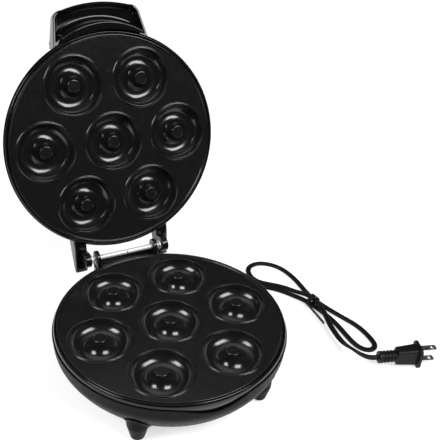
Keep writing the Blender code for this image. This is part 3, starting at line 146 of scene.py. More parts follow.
def softened(corners, reach, steps=6, closed=True, hold=0.15):
    """Each corner P becomes the arc (1-t)^2 S + 2 t (1-t) P + t^2 E, where S and E lie the reach away from P
    along its two sides. One more point on each side keeps the flat beyond it flat."""
    p = np.asarray(corners, float)
    before, after = np.roll(p, 1, 0) - p, np.roll(p, -1, 0) - p
    long_before = np.linalg.norm(before, axis=1, keepdims=True)
    long_after = np.linalg.norm(after, axis=1, keepdims=True)
    reach = np.broadcast_to(np.asarray(reach, float), (len(p),))[:, None]
    back, ahead = before / long_before, after / long_after
    start = p + back * np.minimum(reach, 0.45 * long_before)
    end = p + ahead * np.minimum(reach, 0.45 * long_after)
    t = np.linspace(0, 1, steps)[None, :, None]
    arc = (1 - t) ** 2 * start[:, None] + 2 * t * (1 - t) * p[:, None] + t * t * end[:, None]
    held_start = p + back * np.minimum(reach + hold, 0.49 * long_before)
    held_end = p + ahead * np.minimum(reach + hold, 0.49 * long_after)
    arc = np.concatenate([held_start[:, None], arc, held_end[:, None]], 1)
    if not closed:
        arc[0], arc[-1] = p[0], p[-1]
    return arc.reshape(-1, p.shape[1])


def smooth_curve(points, count):
    """Evenly spaced points of the natural cubic spline through the given points."""
    points = np.asarray(points, float)
    station = np.concatenate([[0], np.cumsum(np.linalg.norm(np.diff(points, axis=0), axis=1))])
    gap = np.diff(station)
    size = len(points)
    system, right = np.eye(size), np.zeros(points.shape)
    inner = np.arange(1, size - 1)
    system[inner, inner - 1], system[inner, inner + 1] = gap[:-1], gap[1:]
    system[inner, inner] = 2 * (gap[:-1] + gap[1:])
    slope = np.diff(points, axis=0) / gap[:, None]
    right[1:-1] = 6 * np.diff(slope, axis=0)
    bend = np.linalg.solve(system, right)
    fine = np.linspace(0, station[-1], size * 60)
    k = np.clip(np.searchsorted(station, fine, side="right") - 1, 0, size - 2)
    back, ahead, span = (station[k + 1] - fine)[:, None], (fine - station[k])[:, None], gap[k][:, None]
    line = ((bend[k] * back ** 3 + bend[k + 1] * ahead ** 3) / (6 * span)
            + (points[k] / span - bend[k] * span / 6) * back
            + (points[k + 1] / span - bend[k + 1] * span / 6) * ahead)
    run = np.concatenate([[0], np.cumsum(np.linalg.norm(np.diff(line, axis=0), axis=1))])
    even = np.linspace(0, run[-1], count)
    return np.stack([np.interp(even, run, line[:, i]) for i in range(points.shape[1])], -1)


# Finishes
class Finish:
    """A Principled material whose colour, roughness and bump are built from noise on Object coordinates."""

    def __init__(self, name, colour, rough, metal=0.0, specular=0.5):
        self.made = bpy.data.materials.new(name)
        self.made.use_nodes = True
        self.tree = self.made.node_tree
        self.shader = self.tree.nodes["Principled BSDF"]
        self.colour = colour
        self.shader.inputs["Base Color"].default_value = (*colour, 1)
        self.shader.inputs["Roughness"].default_value = rough
        self.shader.inputs["Metallic"].default_value = metal
        self.shader.inputs["Specular IOR Level"].default_value = specular
        self.made.diffuse_color = (*colour, 1)
        self.coords = self.tree.nodes.new("ShaderNodeTexCoord")
        self.height = None

    def noise(self, scale, detail=3.0, stretch=(1, 1, 1)):
        """Noise of that many waves per metre, drawn out along an axis by a small stretch."""
        mapping = self.tree.nodes.new("ShaderNodeMapping")
        mapping.inputs["Scale"].default_value = stretch
        node = self.tree.nodes.new("ShaderNodeTexNoise")
        node.inputs["Scale"].default_value = scale
        node.inputs["Detail"].default_value = detail
        self.tree.links.new(self.coords.outputs["Object"], mapping.inputs["Vector"])
        self.tree.links.new(mapping.outputs["Vector"], node.inputs["Vector"])
        return node.outputs["Fac"]

    def spread(self, source, low, high, start=0.3, end=0.7):
        """Maps a pattern to the range low to high."""
        node = self.tree.nodes.new("ShaderNodeMapRange")
        node.inputs["From Min"].default_value = start
        node.inputs["From Max"].default_value = end
        node.inputs["To Min"].default_value = low
        node.inputs["To Max"].default_value = high
        self.tree.links.new(source, node.inputs["Value"])
        return node.outputs["Result"]

    def tinted(self, source, other, start=0.35, end=0.65):
        """The base colour varies to the other colour with the pattern."""
        ramp = self.tree.nodes.new("ShaderNodeValToRGB")
        ramp.color_ramp.elements[0].position, ramp.color_ramp.elements[1].position = start, end
        ramp.color_ramp.elements[0].color = (*self.colour, 1)
        ramp.color_ramp.elements[1].color = (*other, 1)
        self.tree.links.new(source, ramp.inputs["Fac"])
        self.tree.links.new(ramp.outputs["Color"], self.shader.inputs["Base Color"])
        return self

    def roughened(self, source, low, high):
        """The roughness varies from low to high with the pattern."""
        self.tree.links.new(self.spread(source, low, high), self.shader.inputs["Roughness"])
        return self

    def bumped(self, source, depth, strength=1.0):
        """Adds a relief of that depth in metres, over any relief added before."""
        bump = self.tree.nodes.new("ShaderNodeBump")
        bump.inputs["Strength"].default_value = strength
        bump.inputs["Distance"].default_value = depth
        self.tree.links.new(source, bump.inputs["Height"])
        if self.height:
            self.tree.links.new(self.height, bump.inputs["Normal"])
        self.height = bump.outputs["Normal"]
        self.tree.links.new(self.height, self.shader.inputs["Normal"])
        return self

    def coated(self, weight, rough):
        """A clear coat of that weight and roughness."""
        self.shader.inputs["Coat Weight"].default_value = weight
        self.shader.inputs["Coat Roughness"].default_value = rough
        return self


NON_STICK = Finish("non_stick_coating", (0.0050, 0.0050, 0.0054), 0.2, specular=0.75)
NON_STICK.tinted(NON_STICK.noise(900, 2), (0.0078, 0.0078, 0.0083))
NON_STICK.roughened(NON_STICK.noise(140, 4), 0.15, 0.23).bumped(NON_STICK.noise(2600, 2), 0.000006, 0.5)

GLOSS = Finish("glossy_black_moulding", (0.0035, 0.0035, 0.0040), 0.09, specular=0.4)
GLOSS.tinted(GLOSS.noise(60, 2), (0.0050, 0.0050, 0.0055))
GLOSS.roughened(GLOSS.noise(220, 3), 0.06, 0.13).bumped(GLOSS.noise(180, 2), 0.00001, 0.35)

SATIN = Finish("satin_black_moulding", (0.0052, 0.0052, 0.0056), 0.42, specular=0.07)
SATIN.tinted(SATIN.noise(1500, 3), (0.0078, 0.0078, 0.0083))
SATIN.roughened(SATIN.noise(300, 3), 0.36, 0.5).bumped(SATIN.noise(3200, 3), 0.00003, 0.6)

STEEL = Finish("bright_steel_rod", (0.9, 0.9, 0.91), 0.5, metal=0.55)
STEEL.tinted(STEEL.noise(300, 3, (0.05, 1, 1)), (0.8, 0.8, 0.82))
STEEL.roughened(STEEL.noise(2500, 3, (0.03, 1, 1)), 0.42, 0.58)
STEEL.bumped(STEEL.noise(6000, 2, (0.02, 1, 1)), 0.000004, 0.5)

BLADE = Finish("plated_blade", (0.74, 0.74, 0.76), 0.26, metal=1.0)
BLADE.tinted(BLADE.noise(400, 3), (0.62, 0.62, 0.65))
BLADE.roughened(BLADE.noise(700, 3, (0.1, 1, 1)), 0.18, 0.34).bumped(BLADE.noise(5000, 2), 0.000005, 0.5)

TIN = Finish("tinned_steel", (0.5, 0.5, 0.51), 0.36, metal=1.0)
TIN.tinted(TIN.noise(500, 4), (0.38, 0.38, 0.4)).roughened(TIN.noise(350, 3), 0.28, 0.48)
TIN.bumped(TIN.noise(2500, 2), 0.00001, 0.5)

ALUMINIUM = Finish("thin_aluminium_sheet", (0.62, 0.62, 0.63), 0.42, metal=1.0)
ALUMINIUM.tinted(ALUMINIUM.noise(250, 4, (1, 0.06, 1)), (0.52, 0.52, 0.54))
ALUMINIUM.roughened(ALUMINIUM.noise(900, 3, (1, 0.05, 1)), 0.34, 0.5)

BRASS = Finish("brass_terminal", (0.7, 0.52, 0.22), 0.34, metal=1.0)
BRASS.tinted(BRASS.noise(600, 3), (0.55, 0.38, 0.15)).roughened(BRASS.noise(500, 3), 0.26, 0.44)

RUBBER = Finish("pad_rubber", (0.024, 0.024, 0.025), 0.8, specular=0.3)
RUBBER.tinted(RUBBER.noise(1200, 4), (0.036, 0.036, 0.037)).bumped(RUBBER.noise(3500, 3), 0.00004, 0.7)

VINYL = Finish("lead_vinyl", (0.0042, 0.0042, 0.0046), 0.4, specular=0.16)
VINYL.tinted(VINYL.noise(900, 3), (0.0066, 0.0066, 0.0070))
VINYL.roughened(VINYL.noise(500, 3), 0.3, 0.46).bumped(VINYL.noise(2600, 2), 0.000012, 0.5)

CERAMIC = Finish("ceramic_white", (0.72, 0.69, 0.62), 0.55)
CERAMIC.tinted(CERAMIC.noise(700, 4), (0.6, 0.57, 0.5)).bumped(CERAMIC.noise(2200, 3), 0.00003, 0.6)

RED = Finish("red_lamp_lens", (0.42, 0.012, 0.01), 0.12)
RED.tinted(RED.noise(500, 2), (0.3, 0.006, 0.006)).coated(0.6, 0.05)
GREEN = Finish("green_lamp_lens", (0.012, 0.3, 0.05), 0.12)
GREEN.tinted(GREEN.noise(500, 2), (0.008, 0.2, 0.03)).coated(0.6, 0.05)

GLASS = Finish("lamp_glass", (0.55, 0.5, 0.46), 0.1)
GLASS.tinted(GLASS.noise(800, 2), (0.45, 0.38, 0.34)).coated(0.5, 0.05)

CAD_FINISHES = {
    STEEL: ["hinge_washer_left", "hinge_washer_right"],
    TIN: ["base_element", "lid_element", "base_reflector", "thermal_fuse"]
         + [f"{half}_{what}_screw_{n}" for half in ("base", "lid") for what in ("reflector", "plate")
            for n in (1, 2, 3)]
         + [f"base_shell_screw_{n}" for n in (1, 2, 3)] + ["cord_clamp_screw_left", "cord_clamp_screw_right"],
    ALUMINIUM: ["lid_reflector"],
    BRASS: [f"{half}_element_terminal_{side}" for half in ("base", "lid") for side in ("left", "right")],
    CERAMIC: ["terminal_block"],
    SATIN: ["cord_clamp", "base_thermostat"],
    VINYL: ["mains_lead_tail", "base_wire_left", "base_wire_right", "strain_relief", "cord_tie", "plug_body"],
    BLADE: ["plug_blade_upper", "plug_blade_lower"],
    GLASS: ["neon_lamp_red", "neon_lamp_green"],
    RED: ["lamp_lens_red"],
    GREEN: ["lamp_lens_green"],
}
for finish, names in CAD_FINISHES.items():
    for name in names:
        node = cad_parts[name]
        node.data.materials.clear()
        node.data.materials.append(finish.made)


# Cooking plates
PLATE_R, RIM_W = 98.0, 1.6
RING_R = 64.5
LIP_H, LIP_FOOT_R = 1.0, 28.1
TROUGH_IN, TROUGH_OUT, TROUGH_DEEP = 6.0, 25.8, 11.0
POST_R, POST_PROUD = 5.65, 0.6
CELL_R = RING_R / 2
CORNER_R = CELL_R / math.cos(math.pi / 6)
POST_TOP_R = POST_R - 3.0
HOLLOW_R, HOLLOW_Z = 3.4, -5.0
TROUGH_END = 0.035
WEB_EDGE_R, SKIRT_IN_R, UNDER_EDGE_R = 95.2, 95.0, 94.4
INNER_SIDE, RAY_SIDE, ARC_SIDE = 24, 32, 56


def mould_profile():
    """From the middle of the post: flat top, round edge, half ellipse z = -D sin q with r = m - w cos q,
    then the round lip and the fillet down to the web."""
    middle, wide = (TROUGH_IN + TROUGH_OUT) / 2, (TROUGH_OUT - TROUGH_IN) / 2
    q = np.linspace(TROUGH_END, math.pi - TROUGH_END, 30)
    trough = np.stack([middle - wide * np.cos(q), -TROUGH_DEEP * np.sin(q)], -1)
    post = softened([(POST_TOP_R, POST_PROUD), (POST_R, POST_PROUD), tuple(trough[0])],
                    (0, 0.7, 0), 5, closed=False)
    lip = softened([tuple(trough[-1]), (TROUGH_OUT + 0.05, 0), (LIP_FOOT_R - 0.5, 0),
                    (LIP_FOOT_R - 0.15, -LIP_H), (LIP_FOOT_R + 1.2, -LIP_H)],
                   (0, 0.7, 0.7, 0.45, 0), 6, closed=False)
    return np.concatenate([[(0, POST_PROUD), (POST_R - 4.0, POST_PROUD)], post, trough[1:-1], lip])


def under_profile(plate_under, mould_wall):
    """The same ring a wall's thickness below, from the hollow under the post to the root at the web."""
    middle, wide = (TROUGH_IN + TROUGH_OUT) / 2, (TROUGH_OUT - TROUGH_IN) / 2 + mould_wall
    q = math.pi * np.array([0.78, 0.7, 0.6, 0.5, 0.4, 0.3, 0.2, 0.12])
    ring = np.stack([middle + wide * np.cos(q), -(TROUGH_DEEP + mould_wall) * np.sin(q)], -1)
    return np.concatenate([[(0, HOLLOW_Z), (HOLLOW_R, HOLLOW_Z)], ring, [(LIP_FOOT_R - 0.5, plate_under)]])


def cell_borders(rim_r):
    """Borders of the middle cell and of the cell at angle 0, 144 points each. The middle one is a hexagon
    whose sides lie half way to the next moulds; the other one has a side of it, two rays 30 degrees to
    each side, and the arc of the rim between them."""
    across = np.linspace(-1, 1, INNER_SIDE + 1)[:-1] * CORNER_R / 2
    side = np.stack([np.full(INNER_SIDE, CELL_R), across], -1)
    turns = np.arange(6) * TURN / 6
    cos, sin = np.cos(turns)[:, None], np.sin(turns)[:, None]
    middle = np.stack([side[:, 0] * cos - side[:, 1] * sin, side[:, 0] * sin + side[:, 1] * cos], -1)
    out = np.linspace(CORNER_R, rim_r, RAY_SIDE + 1)
    lean = math.pi / 6
    low_ray = np.stack([out * math.cos(lean), -out * math.sin(lean)], -1)[:-1]
    arc = np.linspace(-lean, lean, ARC_SIDE + 1)[:-1]
    rim = rim_r * np.stack([np.cos(arc), np.sin(arc)], -1)
    high_ray = np.stack([out * math.cos(lean), out * math.sin(lean)], -1)[:0:-1]
    back = np.stack([np.full(INNER_SIDE, CELL_R), -across], -1)
    return middle.reshape(-1, 2), np.concatenate([low_ray, rim, high_ray, back])


def mould_cells(shape, profile, web, rim_r, place):
    """Seven cells. In each, the profile is turned about the mould along the directions of the border's
    points, and from the profile's foot F to the border B the web runs as F + t (B - F)."""
    profile = np.asarray(profile, float)
    share = np.array([0.06, 0.3, 0.65, 1.0])[:, None, None]
    for border, centre, turns in zip(cell_borders(rim_r), ((0.0, 0.0), (RING_R, 0.0)), ((0,), range(6))):
        off = border - centre
        along = off / np.linalg.norm(off, axis=1, keepdims=True)
        ring = centre + profile[:, None, :1] * along[None]
        ring = np.concatenate([ring, np.broadcast_to(profile[:, None, 1:], ring.shape[:2] + (1,))], -1)
        flat = ring[-1, :, :2] + share * (border - ring[-1, :, :2])
        flat = np.concatenate([flat, np.full(flat.shape[:2] + (1,), web)], -1)
        cell = np.concatenate([ring, flat])
        for k in turns:
            shape.grid(cell, place @ tilted(k * TURN / 6, "Z"), close_cols=True)


def cooking_plate(name, wall, mould_wall, skirt, body, place):
    """One closed surface: moulds and web above, rim and skirt outside, the same cells below."""
    under = -LIP_H - wall
    rim = softened([(WEB_EDGE_R, -LIP_H), (PLATE_R - RIM_W - 0.35, -LIP_H), (PLATE_R - RIM_W, 0), (PLATE_R, 0),
                    (PLATE_R, -skirt), (SKIRT_IN_R, -skirt), (SKIRT_IN_R, under), (UNDER_EDGE_R, under)],
                   (0, 0.35, 0.4, 0.5, 0.4, 0.4, 0.1, 0), 5, closed=False)
    shape = Shape()
    mould_cells(shape, mould_profile(), -LIP_H, WEB_EDGE_R, place)
    shape.turned(rim, place, 6 * ARC_SIDE, phase=-math.pi / 6)
    mould_cells(shape, under_profile(under, mould_wall), under, UNDER_EDGE_R, place)
    return shape.finish(name, NON_STICK.made, body, [name], "non_stick", sharp=50)


cooking_plate("base_plate", 3.4, 3.4, 7.0, "base", ON_COOK)
cooking_plate("lid_plate", 2.0, 1.8, 4.0, "lid", ON_LID)

# Collars
COLLAR_R, COLLAR_IN_R, FLANGE_IN_R, COLLAR_TOP = 100.8, 98.7, 94.5, -0.4


def collar(name, skirt, edge, foot_r, foot_z, shoulder_w, shoulder_h, body, place):
    """A glossy ring: its top, a quarter ellipse as the shoulder, the side that draws in, and the flange."""
    q = np.linspace(0, math.pi / 2, 9)
    shoulder = np.stack([COLLAR_R - shoulder_w * (1 - np.sin(q)), COLLAR_TOP - shoulder_h * (1 - np.cos(q))], -1)
    top, low, foot_in_r = -skirt - 0.3, -skirt - 3.3, foot_r - 2
    below = softened([(COLLAR_R, COLLAR_TOP - shoulder_h), (COLLAR_R, edge), (foot_r, foot_z),
                      (foot_in_r, foot_z), (foot_in_r, low), (FLANGE_IN_R, low), (FLANGE_IN_R, top),
                      (COLLAR_IN_R, top), (COLLAR_IN_R, COLLAR_TOP), tuple(shoulder[0])],
                     (0, 0.6, 0.5, 0.5, 0.2, 0.3, 0.3, 0.2, 0.35, 0), 5, closed=False)
    profile = np.concatenate([shoulder, below[1:-1]])
    return Shape().turned(profile, place, 288, closed=True).finish(name, GLOSS.made, body, [name], "gloss_black")


collar("base_collar", 7.0, -5.0, 98.6, -16.0, 1.5, 3.2, "base", ON_COOK)
collar("lid_collar", 4.0, -3.0, 97.3, -7.9, 0.9, 1.5, "lid", ON_LID)

# Base casing
CASE_R, CASE_EDGE, CASE_WALL_W = 102.3, -5.0, 1.0
CASE_FOOT_R, CASE_FOOT_Z = 89.0, -36.02
CASE_BOTTOM, CASE_FLOOR, FLAT_R = -38.0, -35.4, 40.0
CASE_LIP_H = 0.45
CASE_WALL = smooth_curve([(101.9, CASE_EDGE), (101.35, -10.2), (100.77, -15.89), (97.70, -23.48), (92.58, -31.4),
                          (CASE_FOOT_R, CASE_FOOT_Z)], 60)
DIP_X, DIP_HALF_W, DIP_DEEP = -4.0, 40.0, 7.4


def wall_out(height):
    """Outer radius of the base casing at a height over the lip plane."""
    return np.interp(-np.asarray(height), -CASE_WALL[:, 1], CASE_WALL[:, 0])


def base_casing():
    """Radius by height and angle. The rim's height is E - D (1 + cos(pi s)) / 2 in the front dip, where s runs
    from -1 to 1 over its width, and E elsewhere; below it the wall follows the same curve all round."""
    angle = TURN * np.arange(480) / 480
    share = np.clip((CASE_R * np.cos(angle) - DIP_X) / DIP_HALF_W, -1, 1)
    drop = np.where(np.sin(angle) < 0, DIP_DEEP * (1 + np.cos(math.pi * share)) / 2, 0)
    brow = CASE_EDGE - drop - CASE_LIP_H
    fall = np.linspace(0, 1, 30)[1:, None]
    outer_z = brow + (CASE_FOOT_Z - brow) * fall
    outer_r = wall_out(outer_z)
    q = np.linspace(0, math.pi, 9)[:, None]
    lip_r = wall_out(brow) - CASE_WALL_W / 2 * (1 + np.cos(q))
    lip_z = brow + CASE_LIP_H * np.sin(q)
    foot = softened([(CASE_FOOT_R, CASE_FOOT_Z), (86.6, CASE_BOTTOM), (FLAT_R, CASE_BOTTOM)], (0, 1.8, 0), 8,
                    closed=False)[1:]
    inside = softened([(101.1, -13.4), (98.95, -16.3), (95.7, -16.3), (95.7, -18.3), (95.1, -22.2),
                       (90.0, -30.1), (86.4, -34.7), (82.4, CASE_FLOOR), (FLAT_R, CASE_FLOOR)],
                      (0, 0.2, 0.2, 0.2, 0.5, 2, 2, 2, 0), 4, closed=False)[::-1]
    even = np.ones_like(angle)
    r = np.concatenate([inside[:, :1] * even, lip_r, outer_r, foot[:, :1] * even])
    z = np.concatenate([inside[:, 1:] * even, lip_z, outer_z, foot[:, 1:] * even])
    grid = np.stack([r * np.cos(angle), r * np.sin(angle), z], -1)
    shape = Shape().grid(grid, ON_COOK, close_cols=True)
    for level in (CASE_BOTTOM, CASE_FLOOR):
        shape.turned([(FLAT_R, level), (0.0, level)], ON_COOK, 480)
    return shape.finish("base_casing", SATIN.made, "base", ["base_shell"], "satin_black", sharp=40)


base_casing()

LEG_X, LEG_Y = 56.5, 66.5
LEG_PLACES = [(x, y) for x in (-LEG_X, LEG_X) for y in (-LEG_Y, LEG_Y)]
LEG_TIP_R, LEG_TIP_Z, LEG_ROUND, LEG_SPREAD = 6.3, 0.6, 2.4, 3.1
LEG_TOP, LEG_FILLET, LEG_FILLET_H = 15.0, 2.2, 4.5
PAD_SEAT_R, PAD_SEAT_Z = 3.9, 2.7


def legs():
    """Each leg: the radius grows from the tip to the root, and by F (1 - d / G)^2 within the distance G of the
    casing, where d is the height left below the wall. The tip is a quarter round about the pad's seat, and the
    top closes inside the casing."""
    shape = Shape()
    angle = TURN * np.arange(64) / 64
    q = np.linspace(0, math.pi / 2, 8)[:, None]
    seat = np.array([(0.0, PAD_SEAT_Z), (PAD_SEAT_R, PAD_SEAT_Z), (PAD_SEAT_R, LEG_TIP_Z)])
    tip = np.concatenate([LEG_TIP_R - 2.2 * (1 - np.sin(q)), LEG_TIP_Z + LEG_ROUND * (1 - np.cos(q))], 1)
    low = np.concatenate([seat, tip])[:, :, None] + 0 * angle
    start = LEG_TIP_Z + LEG_ROUND
    for x, y in LEG_PLACES:
        reach = np.hypot(x + 10 * np.cos(angle), y + 10 * np.sin(angle))
        wall_z = COOK_Z + np.interp(reach, CASE_WALL[::-1, 0], CASE_WALL[::-1, 1])
        wall_z = np.where(reach < 88.0, LEG_TOP, np.maximum(wall_z, LEG_TOP)) + 0.4
        z = start + (wall_z - start) * np.linspace(0, 1, 34)[:, None]
        radius = LEG_TIP_R + LEG_SPREAD * np.clip((z - start) / (LEG_TOP - start), 0, 1)
        radius = radius + LEG_FILLET * np.clip(1 - (wall_z - z) / LEG_FILLET_H, 0, 1) ** 2
        r = np.concatenate([low[:, 0], radius[1:], np.zeros((1, 64))])
        z = np.concatenate([low[:, 1], z[1:], np.full((1, 64), 22.0)])
        shape.grid(np.stack([x + r * np.cos(angle), y + r * np.sin(angle), z], -1), ON_BASE, close_cols=True)
    return shape.finish("base_legs", SATIN.made, "base", ["base_shell"], "satin_black")


legs()

PAD = softened([(0, 2.4), (3.6, 2.4), (3.6, 0), (1.2, 0), (1.0, 0.35), (0, 0.35)], (0, 0.2, 0.5, 0.2, 0.2, 0), 5,
               closed=False)
for number, place in enumerate(LEG_PLACES, 1):
    Shape().turned(PAD, ON_BASE, 48, at=place).finish(
        f"foot_pad_{number}", RUBBER.made, "base", [f"foot_pad_{number}"], "pad_rubber")


# Hinge
PIN_R, SPLIT_X, SPLIT_GAP, PIN_END = 2.4, 1.1, 0.6, 40.3
BLOCK_HALF_W, BLOCK_FRONT_R, BLOCK_BACK, BLOCK_LOW, BLOCK_HIGH = 31.0, 101.5, 116.2, 35.3, 46.3
EAR_R, EAR_W, EAR_FOOT = 7.2, 3.6, -12.1


def hinge_block():
    """The block's front follows the casing's wall, an arc about the middle of the base, and its back corners
    are round. Each ear on it is a half circle about the pin on a straight foot."""
    lean = math.asin(BLOCK_HALF_W / BLOCK_FRONT_R)
    arc = math.pi / 2 + np.linspace(lean, -lean, 41)
    front = BLOCK_FRONT_R * np.stack([np.cos(arc), np.sin(arc)], -1)
    steps = 8
    back = softened([(BLOCK_HALF_W, 97.0), (BLOCK_HALF_W, BLOCK_BACK), (-BLOCK_HALF_W, BLOCK_BACK),
                     (-BLOCK_HALF_W, 97.0)], 3, steps)
    # Only the two back corners are kept: the front arc stands for the other two
    back = back[steps + 2:-steps - 2]
    shape = Shape().slab(np.concatenate([back, front]), BLOCK_LOW, BLOCK_HIGH, 0.8, ON_BASE)
    arc = np.linspace(0, math.pi, 33)
    foot = [(-EAR_R, -4.0), (-EAR_R, -8.0), (-EAR_R, EAR_FOOT), (0, EAR_FOOT), (EAR_R, EAR_FOOT), (EAR_R, -8.0),
            (EAR_R, -4.0)]
    ear = np.concatenate([EAR_R * np.stack([np.cos(arc), np.sin(arc)], -1), foot])
    for start in (BLOCK_HALF_W - EAR_W, -BLOCK_HALF_W):
        shape.slab(ear, start, start + EAR_W, 0.6, ON_HINGE @ ALONG_X)
    return shape.finish("hinge_block", GLOSS.made, "base", ["base_shell"], "satin_black")


hinge_block()

for side, start, end in (("left", -PIN_END, SPLIT_X - SPLIT_GAP / 2), ("right", SPLIT_X + SPLIT_GAP / 2, PIN_END)):
    rod = softened([(0, start), (PIN_R, start), (PIN_R, end), (0, end)], (0, 0.45, 0.45, 0), 5, closed=False)
    Shape().turned(rod, ON_HINGE @ tilted(math.pi / 2, "Y"), 64).finish(
        f"hinge_pin_{side}", STEEL.made, "base", [f"hinge_pin_{side}"], "bright_steel")

# Lid cover
LID_WALL = smooth_curve([(101.55, -3.0), (101.3, -4.6), (99.25, -8.32), (94.77, -15.92), (87.12, -24.28),
                         (74.90, -32.26), (50.95, -38.34), (22.42, -40.8), (0.0, -41.0)], 90)


def lid_dome(shape):
    """The cover's curve turned all round, with the same curve a wall's thickness inside it and a half round
    edge between the two."""
    q = np.linspace(0, math.pi, 7)
    rim = np.stack([101.45 - 0.35 * np.cos(q[::-1]), -3.0 + 0.35 * np.sin(q)], -1)
    inner = LID_WALL[8:] - np.array([2.0, -1.2])
    inner = np.concatenate([[(101.1, -4.0)], inner[inner[:, 0] > 3]])
    profile = np.concatenate([[(0.0, -39.6)], inner[::-1], [(101.1, -3.35)], rim, LID_WALL[1:]])
    return shape.turned(profile, ON_LID, 360)


ROOT_HALF_W, TIP_HALF_W, ROOT_Y, TIP_Y, BOW, CORNER = 45.2, 41.0, 88.0, 125.6, 4.5, 9.0
RIM_LOW, RIM_LIFT, RIM_ROUND, HANDLE_BACK = 5.5, 11.5, 0.5, 30.0
DRAFT, BACK_SLIDE, BACK_ROUND = 1.2, 1.6, 5.0
GRIP_WALL, GRIP_LEAN, GRIP_FLOOR, GRIP_ROUND, GRIP_CHIN = 2.0, 1.4, 22.0, 3.0, 1.6
CHIN_Y, CHIN_BOW_R, CHIN_HALF_W, CHIN_IN_R, CHIN_ROOT, CHIN_PROUD = 109.0, 68.0, 37.5, 102.3, -18.0, 1.5


def handle_outline(inset, set_back=0.0, chin=None):
    """Anticlockwise as seen from the food side: root corner, straight side, round corner, bowed front and
    back. With a chin reach e, the root side is the round of the cover's edge and the bow of the chin, e out."""
    tip_y, tip_x, round_r = TIP_Y - inset - set_back, TIP_HALF_W - inset, CORNER - inset
    corner_y = tip_y - BOW - round_r
    start = np.array([ROOT_HALF_W - inset, ROOT_Y])
    turn = np.linspace(0, math.pi / 2, 17)
    corner = np.stack([tip_x - round_r + round_r * np.cos(turn), corner_y + round_r * np.sin(turn)], -1)
    if chin is not None:
        edge_r = CHIN_IN_R + 1.0 + chin
        run = corner[0] - start
        a, b, c = run @ run, 2 * start @ run, start @ start - edge_r ** 2
        start = start + run * (-b + math.sqrt(b * b - 4 * a * c)) / (2 * a)
    side = start + np.linspace(0, 1, 13)[:-1, None] * (corner[0] - start)
    flat = tip_x - round_r
    x = np.linspace(flat, -flat, 33)[1:-1]
    front = np.stack([x, tip_y - BOW * (x / flat) ** 2], -1)
    half = np.concatenate([side, corner])
    mirrored = half[::-1] * (-1, 1)
    x = start[0] * np.linspace(-1, 1, 62)[1:-1]
    if chin is None:
        root = np.stack([x, np.full(len(x), start[1])], -1)
    else:
        bow_r = CHIN_BOW_R + chin
        bow = CHIN_Y - CHIN_BOW_R + np.sqrt(np.maximum(bow_r ** 2 - x ** 2, 0))
        root = np.stack([x, np.maximum(bow, np.sqrt(edge_r ** 2 - x ** 2))], -1)
    return np.concatenate([half, front, mirrored, root])


def rim_level(y):
    """Height of the handle's rim: it slopes back evenly from the root to the front."""
    return -RIM_LOW - RIM_LIFT * (y - ROOT_Y) / (TIP_Y - ROOT_Y)


def handle(shape):
    """Rows of the outline: the round back edge, the side up to the sloping rim, the rim with its two round
    edges, and the finger pocket down to a floor with round corners."""
    rows = []
    normal = inward_normals(handle_outline(DRAFT))
    for q in np.linspace(0, math.pi / 2, 9):
        back = handle_outline(DRAFT, BACK_SLIDE * (1 - math.sin(q)))
        rows.append((back + normal * BACK_ROUND * (1 - math.sin(q)),
                     -HANDLE_BACK + BACK_ROUND * (1 - math.cos(q))))
    low, high = rows[-1][0], handle_outline(0)
    rim = rim_level(high[:, 1])
    normal = inward_normals(high)
    for q in np.linspace(0, 1, 6)[1:]:
        rows.append((low + (high - low) * q, (-HANDLE_BACK + BACK_ROUND) * (1 - q) + (rim - RIM_ROUND) * q))
    for q in np.linspace(0, math.pi / 2, 5)[1:]:
        rows.append((high + normal * RIM_ROUND * (1 - math.cos(q)), rim - RIM_ROUND * (1 - math.sin(q))))
    pocket = handle_outline(GRIP_WALL, chin=0.0)
    floor = handle_outline(GRIP_WALL + GRIP_LEAN, chin=GRIP_CHIN)
    inner = inward_normals(pocket)
    level = rim_level(pocket[:, 1])
    for q in np.linspace(0, math.pi / 2, 5):
        rows.append((pocket - inner * RIM_ROUND * (1 - math.sin(q)), level - RIM_ROUND * (1 - math.cos(q))))
    for q in np.linspace(0, 1, 6)[1:]:
        rows.append((pocket + (floor - pocket) * q,
                     (level - RIM_ROUND) * (1 - q) + (-GRIP_FLOOR + GRIP_ROUND) * q))
    for q in np.linspace(0, math.pi / 2, 7)[1:]:
        rows.append((floor + inner * GRIP_ROUND * (1 - math.cos(q)),
                     -GRIP_FLOOR + GRIP_ROUND * (1 - math.sin(q))))
    grid = np.array([np.concatenate([row, np.zeros((len(row), 1)) + np.reshape(level, (-1, 1))], 1)
                     for row, level in rows])
    return shape.grid(grid, ON_LID, close_cols=True, caps=True)


def chin(shape):
    """A crescent between the bow of the front edge and the arc round the cover. Towards the food side each row
    draws the bow in by a share of its distance from the arc, up to 1 mm, which rounds its edge."""
    front, back = math.asin(CHIN_HALF_W / CHIN_BOW_R), math.asin(CHIN_HALF_W / CHIN_IN_R)
    a, b = np.linspace(front, -front, 61), np.linspace(-back, back, 61)
    bow = np.stack([CHIN_BOW_R * np.sin(a), CHIN_Y - CHIN_BOW_R + CHIN_BOW_R * np.cos(a)], -1)
    arc = CHIN_IN_R * np.stack([np.sin(b), np.cos(b)], -1)
    draw = np.zeros(len(a) + len(b))
    draw[:len(a)] = np.minimum(1.0, 0.4 * (bow[:, 1] - np.interp(bow[:, 0], arc[:, 0], arc[:, 1])))
    outline = np.concatenate([bow, arc])
    level = np.array([CHIN_ROOT, CHIN_ROOT + 10] + [CHIN_PROUD - low for low in (0.85, 0.7, 0.35, 0.1, 0, 0)])
    share = np.array([0, 0, 0, 0, 0.07, 0.22, 0.5, 0.7])
    x, y = outline[:, 0] + 0 * share[:, None], outline[:, 1] - share[:, None] * draw
    return shape.grid(np.stack([x, y, level[:, None] + 0 * x], -1), ON_LID, close_cols=True, caps=True)


